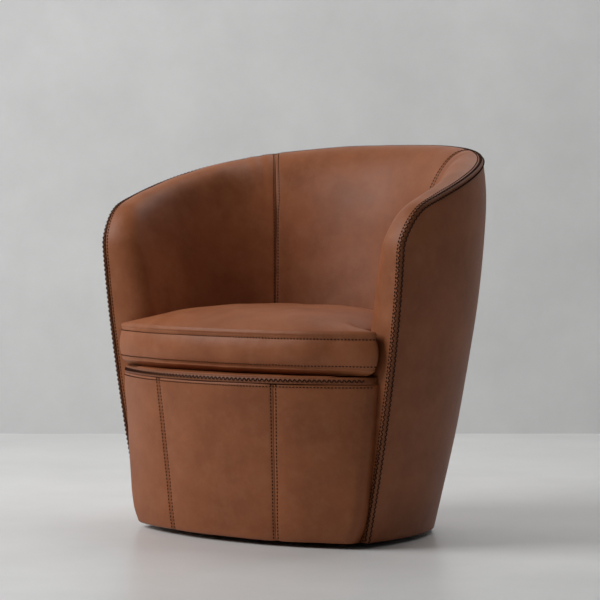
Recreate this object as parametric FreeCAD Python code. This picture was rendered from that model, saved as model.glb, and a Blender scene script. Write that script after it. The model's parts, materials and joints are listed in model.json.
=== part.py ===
import FreeCAD, Part
import math
import os

# Leather swivel club chair: a barrel-shaped shell of padded leather on a hidden swivel base,
# with a loose seat cushion. Millimetres. +Z up, the sitter faces -Y, +X is the sitter's left.
# The origin is on the floor, under the middle of the chair's box.

# Shell seen from above, outer face of the leather
shell_width = 760
base_width = 574
rim_width = 732
pole_y = -99
plan_centre_setback = 35
plan_back_depth = 370
plan_front_depth = 450
plan_power = 2.2
profile_power = 1.55
widest_height = 640
floor_gap = 10

# Rim line, where the outside and inside leathers meet
back_rim_height = 759
arm_drop = 108
rim_run = 400
rim_power = 1.27
rim_corner_drop = 52
rim_corner_run = 67
rim_corner_start_y = -130
rim_corner_power = 2.5

# Wall thickness and the rounded rim
arm_wall = 66
back_wall = 100
inner_power = 2.0
inside_lean = 35
lean_run = 390
arm_crown = 8
arm_shoulder = 24
back_crown = -3
back_shoulder = 60
slope_first_angle = 118

# Arm fronts
arm_front_top_y = -198
arm_front_foot_y = -180
arm_front_crown = 3
arm_front_roll = 15
arm_front_level_shares = (0.0, 0.4, 0.6, 0.8, 1.0, 1.2)
arm_front_crown_share = 0.4
overrun = 60

# Layers of the wall, outside to inside
leather = 1.6
layer_gap = 0.3
soft_gap = 0.5
foam_gap = 0.8
rail_gap = 1.2
wadding = 5
shell_board = 4
arm_foam = 34
back_foam = 60
rim_foam = 24
arm_front_foam = 14
arm_front_gap = 2.2
board_hem = 4
rail_height = 26
webbing_thickness = 2
webbing_width = 42
webbing_heights = (345, 420, 495, 570)
webbing_end_angle = 96
webbing_gap = 0.7

# Radial stations of the lofts, and the seams at the back corners
arm_first_angle = 69
board_first_angle = 77.6
back_seam_angle = 142
side_rib_angle = 112
quarter_rib_angle = 146
post_last_angle = 82
frame_first_angle = 78
deck_first_angle = 78
cushion_first_angle = 74.2
board_stations = 9
tip_stations = 4
post_stations = 3
back_stations = 9
wall_levels = 9
half_turn = 180
full_turn = 360

# Front panel below the cushion
panel_top_width = 612
panel_foot_width = 548
panel_top_height = 306
panel_top_end_y = -200
panel_foot_end_y = -211
panel_top_bow = 107
panel_foot_bow = 61
panel_bow_power = 2.25
panel_seam_share = 0.458
panel_foam = 27
panel_board = 8
panel_levels = 4
panel_corner_height = 80
panel_corner_inset = 13
panel_corner_power = 2.6
panel_corner_levels = 5
curve_points = 11
plan_points = 21
quarter_turn = 90
panel_side_clearance = 2
band_height = 12
band_roll = 5
lip_depth = 62

# Seat deck
deck_rise = 14
seat_frame_thickness = 22
seat_frame_width = 46
seat_frame_drop = 22
deck_pad = 26
spring_cloth = 1
deck_side_gap = 1

# Sinuous springs of the seat
spring_count = 5
spring_wire = 3.6
spring_pitch = 24
spring_swing = 44
spring_spacing = 88
clip_length = 26
clip_width = 22
clip_thickness = 1.5
spring_clip_gap = 0.2
spring_end_inset = 26
block_width_share = 2.4
block_front_angle = 84
block_height = 36
block_depth = 32

# Loose seat cushion
cushion_clearance = 1.2
cushion_rest_gap = 0.4
cushion_underside = 14
cushion_boxing_height = 60
cushion_crown = 47
cushion_top_width = 630
cushion_front_end_y = -201
cushion_front_bow = 78
cushion_bow_power = 2.45
cushion_bulge = 6
cushion_draw_in = 14
cushion_crown_shares = (1, 0.97, 0.9, 0.78, 0.6, 0.38, 0.15)
cushion_crown_power = 4
cushion_flare_power = 3
cushion_centre_y = -45
cushion_cover = 1.4
zip_length = 300
zip_height = 26
zip_thickness = 1
slider_length = 14
slider_height = 10
slider_thickness = 3
slider_gap = 0.3
zip_radius = 280
zip_setback = 5

# Frame inside the shell
ring_height = 40
ring_bore_clearance = 8
rib_thickness = 18
cross_rail_width = 74
cross_rail_height = 34
cross_rail_spacing = 150
ring_levels = 3

# Swivel base
swivel_y = -24
plinth_radius = 185
plinth_thickness = 20
plinth_edge = 4
glide_radius = 14
glide_height = 5
glide_circle_radius = 160
glide_count = 4
plate_radius = 92
plate_thickness = 3
race_radius = 66
race_width = 22
race_height = 5.5
ball_radius = 4
ball_count = 16
ball_gap = 0.3
cage_thickness = 2
cage_width = 16
pivot_radius = 8
pivot_running_clearance = 0.06
pivot_head_radius = 15
pivot_head_height = 6
pivot_washer_radius = 20
pivot_washer_thickness = 2
pivot_nut_width = 24
hexagon_sides = 6
race_split = 2.6
plate_screw_circle_radius = 46
cage_ball_gap = 0.2
post_screw_angle = 79.8
rail_screw_x = 212
pivot_nut_height = 10
running_gap = 0.4
bolt_radius = 3
bolt_head_radius = 6
bolt_head_height = 3
bolt_count = 4
flange_radius = 122
screw_radius = 2.5
screw_length = 34
screw_head_radius = 4.5
screw_head_height = 3
screw_edge = 9
rail_screw_count = 4
dust_cover = 1

bisection_steps = 48
join_tolerance = 0.001
pieces = {}


def vector(x, y, z):
    return FreeCAD.Vector(x, y, z)


def sine(angle):
    return math.sin(math.radians(angle))


def cosine(angle):
    return math.cos(math.radians(angle))


def spread(height):
    """Share of the widest plan that the shell has at a height."""
    if height < widest_height:
        fall = (widest_height - height) / (widest_height - floor_gap)
        return 1 - (1 - base_width / shell_width) * fall ** profile_power
    rise = (height - widest_height) / (back_rim_height - widest_height)
    return 1 - (1 - rim_width / shell_width) * rise ** 2


def plan_reach(angle, arm_inset, back_inset, power):
    """Distance from the pole to the widest plan outline, drawn in by the insets."""
    low = 0
    high = shell_width + plan_front_depth
    for _ in range(bisection_steps):
        reach = (low + high) / 2
        across = abs(reach * sine(angle)) / (shell_width / 2 - arm_inset)
        along = -reach * cosine(angle) - plan_centre_setback
        depth = plan_back_depth - back_inset if along > 0 else plan_front_depth
        if across ** power + (abs(along) / depth) ** power < 1:
            low = reach
        else:
            high = reach
    return low


def plan_x(y, height, arm_inset, back_inset, power):
    """Half width of a plan outline at a place along Y and a height."""
    scale = spread(height)
    along = (y - pole_y) / scale - plan_centre_setback
    depth = plan_back_depth - back_inset if along > 0 else plan_front_depth
    across = (1 - (abs(along) / depth) ** power) ** (1 / power)
    return scale * (shell_width / 2 - arm_inset) * across


def falling_line(y):
    """Height of the rim line at a place along Y, before its fall at the front corners."""
    run = max(pole_y + plan_centre_setback + plan_back_depth - y, 0) / rim_run
    return back_rim_height - arm_drop * run ** rim_power


def rim_height(y):
    """Height of the rim line at a place along Y."""
    corner = max(rim_corner_start_y - y, 0) / rim_corner_run
    return falling_line(y) - rim_corner_drop * corner ** rim_corner_power


def lean(y, height):
    """How much thicker the padded wall is at a place along Y and a height than at its rim."""
    share = min(max((falling_line(y) - height) / lean_run, 0), 1)
    return inside_lean * (1 - (1 - share) ** 2)


def outer_x(y, height):
    return plan_x(y, height, 0, 0, plan_power)


def inner_x(y, height):
    return plan_x(y, height, arm_wall, back_wall, inner_power) - lean(y, height)


def arm_front_y(height):
    """Y of the arm fronts, which lean forward from the foot to the rim."""
    rise = (height - floor_gap) / (back_rim_height - arm_drop - floor_gap)
    return arm_front_foot_y + (arm_front_top_y - arm_front_foot_y) * rise


class Ray:
    """One vertical half plane from the pole, and the wall's radii in it."""

    def __init__(self, angle):
        self.angle = angle
        arm_inset = arm_wall - leather - arm_foam
        back_inset = back_wall - leather - back_foam
        self.outer_plan = plan_reach(angle, 0, 0, plan_power)
        self.inner_plan = plan_reach(angle, arm_wall, back_wall, inner_power)
        self.foam_plan = plan_reach(angle, arm_inset, back_inset, plan_power)
        self.rim = back_rim_height
        for _ in range(bisection_steps):
            self.rim = rim_height(self.y(self.outer(self.rim)))
        from_seam = half_turn - abs(half_turn - angle)
        run = (from_seam - slope_first_angle) / (back_seam_angle - slope_first_angle)
        share = min(max(run, 0), 1)
        self.shoulder = self.rim - arm_shoulder - (back_shoulder - arm_shoulder) * share
        self.crest = self.rim + arm_crown + (back_crown - arm_crown) * share

    def outer(self, height):
        return spread(height) * self.outer_plan

    def inner(self, height):
        reach = spread(height) * self.inner_plan
        return reach - lean(self.y(reach), height)

    def foam_back(self, height):
        return spread(height) * self.foam_plan

    def y(self, reach):
        return pole_y - reach * cosine(self.angle)

    def point(self, reach, height):
        return vector(reach * sine(self.angle), self.y(reach), height)


def stations(first, last, count):
    """Rays evenly spaced from one angle to another."""
    return [Ray(first + (last - first) * index / (count - 1)) for index in range(count)]


def steps(low, high, count):
    return [low + (high - low) * index / (count - 1) for index in range(count)]


def spline(points):
    curve = Part.BSplineCurve()
    curve.interpolate(points)
    return curve.toShape()


def line(start, end):
    return Part.LineSegment(start, end).toShape()


def arc(start, middle, end):
    return Part.Arc(start, middle, end).toShape()


def loft(wires, ruled=False):
    return Part.makeLoft(wires, True, ruled)


def mirrored(shape):
    return shape.mirror(vector(0, 0, 0), vector(1, 0, 0))


def slab(x, y, z, length, depth, height):
    return Part.makeBox(length, depth, height, vector(x, y, z))


def cylinder(radius, height, x, y, z):
    return Part.makeCylinder(radius, height, vector(x, y, z))


def around_axis(count, radius, first=0):
    """Places on a circle round the swivel axis."""
    for index in range(count):
        angle = first + full_turn * index / count
        yield radius * cosine(angle), swivel_y + radius * sine(angle)


def outer_curve(ray, depth, low, high):
    return spline([ray.point(ray.outer(z) - depth, z) for z in steps(low, high, wall_levels)])


def inner_curve(ray, depth, low, high):
    return spline([ray.point(ray.inner(z) + depth, z) for z in steps(low, high, wall_levels)])


def foam_curve(ray, gap, low, high):
    return spline([ray.point(ray.foam_back(z) + gap, z) for z in steps(low, high, wall_levels)])


def rim_arc(ray, depth):
    """Rounded top of the wall, from the rim line over the crest to the inner shoulder."""
    start_height = ray.rim - depth
    start = ray.point(ray.outer(start_height) - depth, start_height)
    end = ray.point(ray.inner(ray.shoulder) + depth, ray.shoulder)
    middle = (ray.outer(ray.rim) + ray.inner(ray.rim)) / 2
    return arc(start, ray.point(middle, ray.crest - depth), end)


def closed(edges):
    """Joins edges into one wire, with a straight line across each gap between two ends."""
    joined = []
    for index, edge in enumerate(edges):
        joined.append(edge)
        end = edge.Vertexes[-1].Point
        following = edges[(index + 1) % len(edges)].Vertexes[0].Point
        if not end.isEqual(following, join_tolerance):
            joined.append(line(end, following))
    return Part.Wire(joined)


def wall_section(ray, depth, outer_depth):
    """Outline of the whole wall, drawn in by the depths."""
    bottom = floor_gap + depth
    outer = outer_curve(ray, outer_depth, bottom, ray.rim - depth)
    inner = inner_curve(ray, depth, ray.shoulder, bottom)
    rim = rim_arc(ray, depth)
    return closed([outer, rim, inner])


def band_section(ray, outer_depth, inner_depth, bottom, top, mitre):
    """Outline of a layer that follows the outer face of the shell."""
    outer = outer_curve(ray, outer_depth, bottom, top)
    inner = outer_curve(ray, inner_depth, top - mitre, bottom)
    return closed([outer, inner])


def core_section(ray, bottom, top):
    """Outline of the hollow between the shell board and the inside foam."""
    outer = outer_curve(ray, core_depth, bottom, top)
    inner = foam_curve(ray, core_gap, top, bottom)
    return closed([outer, inner])


def inside_leather_section(ray):
    bottom = deck_height - deck_pad
    face = inner_curve(ray, 0, ray.shoulder, bottom)
    rim_face = rim_arc(ray, 0)
    back = inner_curve(ray, leather, bottom, ray.shoulder)
    rim_back = reversed_edge(rim_arc(ray, leather))
    foot = line(face.Vertexes[-1].Point, back.Vertexes[0].Point)
    hem = line(rim_back.Vertexes[-1].Point, rim_face.Vertexes[0].Point)
    return Part.Wire([rim_face, face, foot, back, rim_back, hem])


def reversed_edge(edge):
    """The same arc, drawn from its other end."""
    start, end = edge.Vertexes[0].Point, edge.Vertexes[-1].Point
    middle = edge.valueAt((edge.FirstParameter + edge.LastParameter) / 2)
    return arc(end, middle, start)


def inside_foam_section(ray):
    depth = leather + foam_gap
    bottom = deck_height - deck_pad
    under_rim = ray.rim - rim_foam
    rim = rim_arc(ray, depth)
    face = inner_curve(ray, depth, ray.shoulder, bottom)
    foot = line(face.Vertexes[-1].Point, ray.point(ray.foam_back(bottom), bottom))
    back = foam_curve(ray, 0, bottom, under_rim)
    corner = ray.point(ray.outer(under_rim) - depth, under_rim)
    shelf = line(back.Vertexes[-1].Point, corner)
    outside = line(corner, rim.Vertexes[0].Point)
    return Part.Wire([rim, face, foot, back, shelf, outside])


def arm_front_block(depth):
    """Everything in front of the left arm, with the arm front's crown and its roll to the inside."""
    wires = []
    for share in arm_front_level_shares:
        z = share * widest_height - overrun / 2
        front = arm_front_y(z) + depth
        welt_x = outer_x(arm_front_y(z), z)
        roll_x = inner_x(arm_front_y(z), z) + depth
        crown_x = welt_x + (roll_x - welt_x) * arm_front_crown_share
        reach = roll_x - overrun / 2
        start = vector(welt_x + overrun, front, z)
        welt = vector(welt_x, front, z)
        crown = vector(crown_x, front - arm_front_crown, z)
        roll = vector(roll_x, front + arm_front_roll, z)
        tail = vector(reach, front + arm_front_roll + overrun, z)
        inside = vector(reach, front - overrun * 2, z)
        outside = vector(welt_x + overrun, front - overrun * 2, z)
        wires.append(Part.Wire([
            line(start, welt),
            arc(welt, crown, roll),
            line(roll, tail),
            line(tail, inside),
            line(inside, outside),
            line(outside, start),
        ]))
    return loft(wires, True)


def front_space(setback):
    """Everything in front of a leaning plane behind the arm fronts."""
    low = floor_gap - overrun
    high = back_rim_height + overrun
    corners = [
        vector(0, arm_front_y(low) + setback, low),
        vector(0, arm_front_y(low) - shell_width, low),
        vector(0, arm_front_y(high) - shell_width, high),
        vector(0, arm_front_y(high) + setback, high),
    ]
    face = Part.Face(Part.makePolygon(corners + corners[:1]))
    return face.extrude(vector(shell_width, 0, 0))


def both_sides(name, left):
    pieces[name + "_left"] = left
    pieces[name + "_right"] = mirrored(left)


def pair(name, left):
    """A left piece and its mirror image, as two solids of one group."""
    pieces[name] = Part.makeCompound([left, mirrored(left)])


post_rays = stations(board_first_angle, post_last_angle, post_stations)
board_rays = post_rays[:-1] + stations(post_last_angle, back_seam_angle, board_stations)
tip_rays = stations(arm_first_angle, board_first_angle, tip_stations)
arm_rays = tip_rays[:-1] + board_rays
front_rays = arm_rays[:tip_stations + 1]
back_rays = stations(back_seam_angle, full_turn - back_seam_angle, back_stations)
core_depth = leather + soft_gap + wadding + soft_gap + shell_board + soft_gap
core_gap = webbing_gap + webbing_thickness + layer_gap
deck_height = panel_top_height + deck_rise
seat_frame_top = panel_top_height - seat_frame_drop
cushion_seam_low = deck_height + cushion_underside
cushion_seam_high = cushion_seam_low + cushion_boxing_height
behind_board = foam_gap + panel_board + soft_gap
deck_sheet_low = panel_top_height + band_height + layer_gap * 2
ring_bottom = floor_gap + board_hem
ring_top = ring_bottom + ring_height
plinth_top = glide_height + plinth_thickness
ball_height = plinth_top + plate_thickness + race_height + race_split / 2
zip_centre_y = (
    Ray(half_turn).y(Ray(half_turn).inner(cushion_seam_low)) - cushion_clearance - zip_setback - zip_radius
)


def outside_leathers():
    def section(ray):
        return band_section(ray, 0, leather, floor_gap, ray.rim - layer_gap, leather)

    pieces["outside_leather_back"] = loft([section(ray) for ray in back_rays])
    arm = loft([section(ray) for ray in arm_rays])
    both_sides("outside_leather", arm.cut(arm_front_block(0)))


def inside_leathers():
    pieces["inside_leather_back"] = loft([inside_leather_section(ray) for ray in back_rays])
    arm = loft([inside_leather_section(ray) for ray in arm_rays])
    behind = arm.cut(arm_front_block(leather))
    tip = loft([wall_section(ray, 0, leather + layer_gap) for ray in front_rays])
    front = tip.common(arm_front_block(leather)).cut(arm_front_block(0))
    both_sides("inside_leather", behind)
    both_sides("arm_front_leather", front)


def inside_foams():
    pieces["inside_foam_back"] = loft([inside_foam_section(ray) for ray in back_rays])
    arm = loft([inside_foam_section(ray) for ray in arm_rays])
    both_sides("inside_foam", arm.cut(front_space(arm_front_foam + arm_front_gap)))
    depth = leather + foam_gap
    tip = loft([wall_section(ray, depth, depth) for ray in front_rays])
    pair("arm_front_foams", tip.cut(arm_front_block(depth)).common(front_space(arm_front_foam)))


def wall_layer(outer_depth, inner_depth, rays):
    """One sheet that follows the outer face of the shell, under the rim foam."""
    def section(ray):
        top = ray.rim - rim_foam - rail_gap
        return band_section(ray, outer_depth, inner_depth, ring_bottom, top, 0)

    return loft([section(ray) for ray in rays])


def shell_sheets():
    first = leather + soft_gap
    second = first + wadding + soft_gap
    back = wall_layer(first, first + wadding, back_rays)
    left = wall_layer(first, first + wadding, board_rays)
    pieces["shell_wadding"] = Part.makeCompound([back, left, mirrored(left)])
    pieces["shell_board_back"] = wall_layer(second, second + shell_board, back_rays)
    both_sides("shell_board", wall_layer(second, second + shell_board, board_rays))


def top_rails():
    def section(ray):
        top = ray.rim - rim_foam - rail_gap
        return core_section(ray, top - rail_height, top)

    back = loft([section(ray) for ray in back_rays])
    left = loft([section(ray) for ray in board_rays])
    pieces["top_rails"] = Part.makeCompound([back, left, mirrored(left)])


def rib(first, last):
    """An upright between two rays, from the bottom ring to the top rail."""
    def section(ray):
        top = ray.rim - rim_foam - rail_gap - rail_height - layer_gap
        return core_section(ray, ring_top, top)

    return loft([section(Ray(first)), section(Ray(last))], True)


def rib_half_angle(angle):
    return math.degrees(rib_thickness / 2 / Ray(angle).outer(widest_height))


def uprights():
    pair("front_posts", rib(board_first_angle, post_last_angle))
    half = rib_half_angle(side_rib_angle)
    pair("side_ribs", rib(side_rib_angle - half, side_rib_angle + half))
    half = rib_half_angle(quarter_rib_angle)
    pair("quarter_ribs", rib(quarter_rib_angle - half, quarter_rib_angle + half))
    half = rib_half_angle(half_turn)
    pieces["back_rib"] = rib(half_turn - half, half_turn + half)


def panel_share(z):
    return (z - floor_gap) / (panel_top_height - floor_gap)


def panel_side_x(z):
    """Half width of the front panel before its bottom corners are rounded."""
    return (panel_foot_width + (panel_top_width - panel_foot_width) * panel_share(z)) / 2


def panel_half_width(z):
    """Half width of the front panel, which is drawn in at its rounded bottom corners."""
    rounding = max(floor_gap + panel_corner_height - z, 0) / panel_corner_height
    return panel_side_x(z) - panel_corner_inset * rounding ** panel_corner_power


def panel_heights(low, high):
    """Loft levels of the front panel, closer together at its rounded bottom corners."""
    corner_top = floor_gap + panel_corner_height
    return steps(low, corner_top, panel_corner_levels)[:-1] + steps(corner_top, high, panel_levels)


def panel_end_y(z):
    return panel_foot_end_y + (panel_top_end_y - panel_foot_end_y) * panel_share(z)


def panel_bow(z):
    return panel_foot_bow + (panel_top_bow - panel_foot_bow) * panel_share(z)


def arm_nose_y(z):
    """Foremost line of the arm fronts."""
    return arm_front_y(z) - arm_front_crown


def bowed(half_width, reach, end_y, bow, power, z):
    """Points of a curve bowed to the front, from +reach to -reach across a bow of the half width."""
    points = []
    for x in steps(reach, -reach, curve_points):
        points.append(vector(x, end_y - bow * (1 - (abs(x) / half_width) ** power), z))
    return points


def panel_front(z, inset, reach):
    return bowed(panel_half_width(z), reach, panel_end_y(z) + inset, panel_bow(z), panel_bow_power, z)


def panel_back(z, depth, reach):
    """Back of the panel's padding, or a layer behind it by the depth."""
    end = arm_nose_y(z) - layer_gap
    bow = end - (panel_end_y(z) - panel_bow(z) + leather + foam_gap + panel_foam)
    return bowed(panel_side_x(z), reach, end + depth, bow, panel_bow_power, z)


def arm_gap_half_width(z):
    """Half of the clear width between the arms."""
    return inner_x(arm_front_y(z), z) - panel_side_clearance


def front_leather_section(z):
    half = panel_half_width(z)
    inner = half - leather
    back = arm_nose_y(z) - layer_gap
    face = spline(panel_front(z, 0, half))
    lining = spline(list(reversed(panel_front(z, leather, inner))))
    right = vector(-half, back, z)
    right_inner = vector(-inner, back, z)
    left_inner = vector(inner, back, z)
    left = vector(half, back, z)
    return Part.Wire([
        face,
        line(face.Vertexes[-1].Point, right),
        line(right, right_inner),
        line(right_inner, lining.Vertexes[0].Point),
        lining,
        line(lining.Vertexes[-1].Point, left_inner),
        line(left_inner, left),
        line(left, face.Vertexes[0].Point),
    ])


def seam_block():
    """Space between the two upright seams of the front panel."""
    wires = []
    for z in (floor_gap - overrun, panel_top_height + overrun):
        x = panel_side_x(z) * panel_seam_share
        far = -shell_width
        corners = [vector(-x, 0, z), vector(x, 0, z), vector(x, far, z), vector(-x, far, z)]
        wires.append(Part.makePolygon(corners + corners[:1]))
    return loft(wires, True)


def front_panel():
    skin = loft([front_leather_section(z) for z in panel_heights(floor_gap, panel_top_height)])
    block = seam_block()
    pieces["front_leather_centre"] = skin.common(block)
    sides = skin.cut(block).Solids
    pieces["front_leather_left"] = max(sides, key=lambda solid: solid.CenterOfMass.x)
    pieces["front_leather_right"] = min(sides, key=lambda solid: solid.CenterOfMass.x)
    depth = leather + foam_gap

    def foam_section(z):
        reach = panel_half_width(z) - depth
        return closed([spline(panel_front(z, depth, reach)), spline(panel_back(z, 0, reach)[::-1])])

    def board_section(z):
        reach = arm_gap_half_width(z)
        back = panel_back(z, foam_gap + panel_board, reach)[::-1]
        return closed([spline(panel_back(z, foam_gap, reach)), spline(back)])

    foam_heights = panel_heights(ring_bottom, panel_top_height)
    board_heights = steps(ring_bottom, seat_frame_top, panel_levels)
    pieces["front_foam"] = loft([foam_section(z) for z in foam_heights])
    pieces["front_board"] = loft([board_section(z) for z in board_heights])

    def band(z, roll):
        reach = panel_half_width(panel_top_height) - leather
        face = panel_front(panel_top_height, roll, reach)
        back = panel_front(panel_top_height, roll + leather, reach)[::-1]
        for point in face + back:
            point.z = z
        return closed([spline(face), spline(back)])

    low = panel_top_height + layer_gap
    high = low + band_height
    middle = (low + high) / 2
    pieces["front_band"] = loft([band(low, 0), band(middle, band_roll / 4), band(high, band_roll)])


def lip_slab(roll, back_y, low, high):
    """A level layer behind the top of the front panel, from its bowed front to a straight back."""
    reach = arm_gap_half_width(deck_sheet_low)
    face = panel_front(panel_top_height, roll, reach)
    for point in face:
        point.z = low
    right = vector(-reach, back_y, low)
    left = vector(reach, back_y, low)
    outline = Part.Wire([spline(face), line(face[-1], right), line(right, left), line(left, face[0])])
    return Part.Face(outline).extrude(vector(0, 0, high - low))


def front_lip():
    behind_arms = arm_front_foot_y + arm_front_roll
    low = panel_top_height + layer_gap
    foam_roll = band_roll + leather + layer_gap
    leather_back = behind_arms + lip_depth
    pieces["front_lip_leather"] = lip_slab(band_roll, leather_back, deck_sheet_low, deck_height)
    pieces["front_lip_foam"] = lip_slab(foam_roll, behind_arms, low, deck_sheet_low - layer_gap)


def plan_outline(z, reach_at, first_angle, front_points):
    """Closed outline at one height: the wall's curve round the back and a curve across the front."""
    rays = stations(first_angle, full_turn - first_angle, plan_points)
    back = [ray.point(reach_at(ray, z), z) for ray in rays]
    front = front_points[::-1]
    right_corner = vector(front[0].x, back[-1].y, z)
    left_corner = vector(front[-1].x, back[0].y, z)
    return Part.Wire([
        spline(back),
        line(back[-1], right_corner),
        line(right_corner, front[0]),
        spline(front),
        line(front[-1], left_corner),
        line(left_corner, back[0]),
    ])


def bottom_ring():
    def section(z):
        reach = arm_gap_half_width(z)
        front = panel_back(z, behind_board, reach)
        return plan_outline(z, lambda ray, z: ray.outer(z) - core_depth, board_first_angle, front)

    ring = loft([section(z) for z in steps(ring_bottom, ring_top - layer_gap, ring_levels)])
    bore_radius = plinth_radius + ring_bore_clearance
    pieces["bottom_ring"] = ring.cut(cylinder(bore_radius, overrun * 2, 0, swivel_y, 0))
    cover = Part.Face(section(ring_bottom)).extrude(vector(0, 0, dust_cover))
    cover.translate(vector(0, 0, -layer_gap - dust_cover))
    pieces["dust_cover"] = cover.cut(cylinder(bore_radius, overrun, 0, swivel_y, 0))


def cross_rails():
    rails = []
    for side in (-1, 1):
        y = swivel_y + side * cross_rail_spacing / 2
        low = y - cross_rail_width / 2
        reach = min(inner_x(low, ring_top), inner_x(y, ring_top))
        rails.append(slab(-reach, low, ring_top, reach * 2, cross_rail_width, cross_rail_height))
    pieces["cross_rails"] = Part.makeCompound(rails)


def seat_frame():
    low = seat_frame_top - seat_frame_thickness

    def section(z, inset, across):
        reach = arm_gap_half_width(z) - across
        front = panel_back(z, behind_board + inset, reach)
        reach_at = lambda ray, z: ray.foam_back(z) + webbing_gap - inset
        return plan_outline(z, reach_at, frame_first_angle, front)

    whole = loft([section(z, 0, 0) for z in (low, seat_frame_top)], True)
    width = seat_frame_width
    opening = section(low - layer_gap, width, width)
    cutter = Part.Face(opening).extrude(vector(0, 0, seat_frame_thickness + layer_gap * 2))
    pieces["seat_frame"] = whole.cut(cutter)


def seat_block(angle):
    """A glued block in the corner of an upright and the seat frame."""
    top = seat_frame_top - seat_frame_thickness - layer_gap
    half = rib_half_angle(angle) * block_width_share
    wires = []
    for ray in (Ray(angle - half), Ray(angle + half)):
        outer = [ray.point(ray.foam_back(z) + webbing_gap, z) for z in (top - block_height, top)]
        inner = [ray.point(ray.foam_back(z) - block_depth, z) for z in (top, top - block_height)]
        corners = outer + inner
        wires.append(Part.makePolygon(corners + corners[:1]))
    return loft(wires, True)


def seat_blocks():
    angles = (block_front_angle, side_rib_angle, quarter_rib_angle)
    blocks = [seat_block(angle) for angle in angles]
    blocks += [mirrored(block) for block in blocks] + [seat_block(half_turn)]
    pieces["seat_blocks"] = Part.makeCompound(blocks)


def spring_path(x, front, back, z):
    """One sinuous spring: runs across X joined by round bends, from the front rail to the back rail."""
    run = spring_swing / 2 - spring_pitch / 2
    count = int((back - front) / spring_pitch)
    bend = spring_pitch / 2
    diagonal = bend * sine(quarter_turn / 2)
    edges = []
    for index in range(count + 1):
        side = 1 if index % 2 == 0 else -1
        y = front + index * spring_pitch
        edges.append(line(vector(x - side * run, y, z), vector(x + side * run, y, z)))
        if index < count:
            centre = vector(x + side * run, y + bend, z)
            tip = centre + vector(side * bend, 0, 0)
            low = centre + vector(side * diagonal, -diagonal, 0)
            high = centre + vector(side * diagonal, diagonal, 0)
            edges.append(arc(centre + vector(0, -bend, 0), low, tip))
            edges.append(arc(tip, high, centre + vector(0, bend, 0)))
    return Part.Wire(edges), front + count * spring_pitch


def spring_clip(x, y, z, side):
    """A folded steel strip that holds the end run of a spring on the seat frame."""
    depth = clip_length
    start = y - depth / 2 + side * depth / 4
    bottom = z - spring_wire / 2 - clip_thickness - spring_clip_gap
    height = spring_wire + (clip_thickness + spring_clip_gap) * 2
    outer = slab(x - clip_width / 2, start, bottom, clip_width, depth, height)
    mouth = start - side * clip_thickness
    inner_height = spring_wire + spring_clip_gap * 2
    inner = slab(x - clip_width, mouth, bottom + clip_thickness, clip_width * 2, depth, inner_height)
    return outer.cut(inner)


def wall_y(x, z):
    """Y of the back of the inside foam at a place along X and a height."""
    low = quarter_turn
    high = half_turn
    for _ in range(bisection_steps):
        ray = Ray((low + high) / 2)
        if ray.foam_back(z) * sine(ray.angle) > abs(x):
            low = ray.angle
        else:
            high = ray.angle
    return ray.y(ray.foam_back(z))


def seat_springs():
    z = seat_frame_top + layer_gap + clip_thickness + spring_clip_gap + spring_wire / 2
    springs = []
    clips = []
    middle = (spring_count - 1) / 2
    for index in range(spring_count):
        x = (index - middle) * spring_spacing
        reach = arm_gap_half_width(z)
        half = panel_half_width(z)
        front_bow = panel_back(z, behind_board, reach)[curve_points // 2].y
        front_end = arm_nose_y(z)
        bow_share = 1 - (abs(x) / half) ** panel_bow_power
        front = front_end + (front_bow - front_end) * bow_share + spring_end_inset
        back = wall_y(x, z) - spring_end_inset
        path, end = spring_path(x, front, back, z)
        start = path.Edges[0]
        normal = start.tangentAt(start.FirstParameter)
        profile = Part.Wire(Part.makeCircle(spring_wire / 2, start.valueAt(start.FirstParameter), normal))
        springs.append(path.makePipeShell([profile], True, False))
        clips.append(spring_clip(x, front, z, -1))
        clips.append(spring_clip(x, end, z, 1))
    pieces["seat_springs"] = Part.makeCompound(springs)
    pieces["spring_clips"] = Part.makeCompound(clips)


def deck():
    """Cloth over the springs, the deck pad and the cloth that the cushion rests on."""
    pad_low = deck_height - deck_pad + layer_gap
    front_y = arm_front_foot_y + arm_front_roll + layer_gap

    def sheet(low, high):
        def section(z):
            rays = stations(deck_first_angle, full_turn - deck_first_angle, plan_points)
            curve = spline([ray.point(ray.inner(z) - soft_gap, z) for ray in rays])
            start, end = curve.Vertexes[0].Point, curve.Vertexes[-1].Point
            reach = inner_x(front_y, z) - deck_side_gap
            right = vector(-reach, front_y, z)
            left = vector(reach, front_y, z)
            return Part.Wire([curve, line(end, right), line(right, left), line(left, start)])

        return loft([section(low), section(high)], True)

    cloth_top = pad_low - layer_gap
    pieces["spring_cloth"] = sheet(cloth_top - spring_cloth, cloth_top)
    pieces["deck_pad"] = sheet(pad_low, deck_sheet_low - layer_gap)
    lip_reach = shell_width + front_y + lip_depth + layer_gap * 2
    lip_space = slab(-shell_width, -shell_width, 0, shell_width * 2, lip_reach, back_rim_height)
    pieces["deck_cloth"] = sheet(deck_sheet_low, deck_height).cut(lip_space)


def back_webbing():
    """Level straps on the inner edges of the uprights, behind the inside foam."""
    rays = stations(webbing_end_angle, full_turn - webbing_end_angle, plan_points)

    def section(z):
        inner = [ray.point(ray.foam_back(z) + webbing_gap, z) for ray in rays]
        outer = [ray.point(ray.foam_back(z) + webbing_gap + webbing_thickness, z) for ray in rays]
        return closed([spline(outer), spline(inner[::-1])])

    straps = [loft([section(low), section(low + webbing_width)], True) for low in webbing_heights]
    pieces["back_webbing"] = Part.makeCompound(straps)


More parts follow.
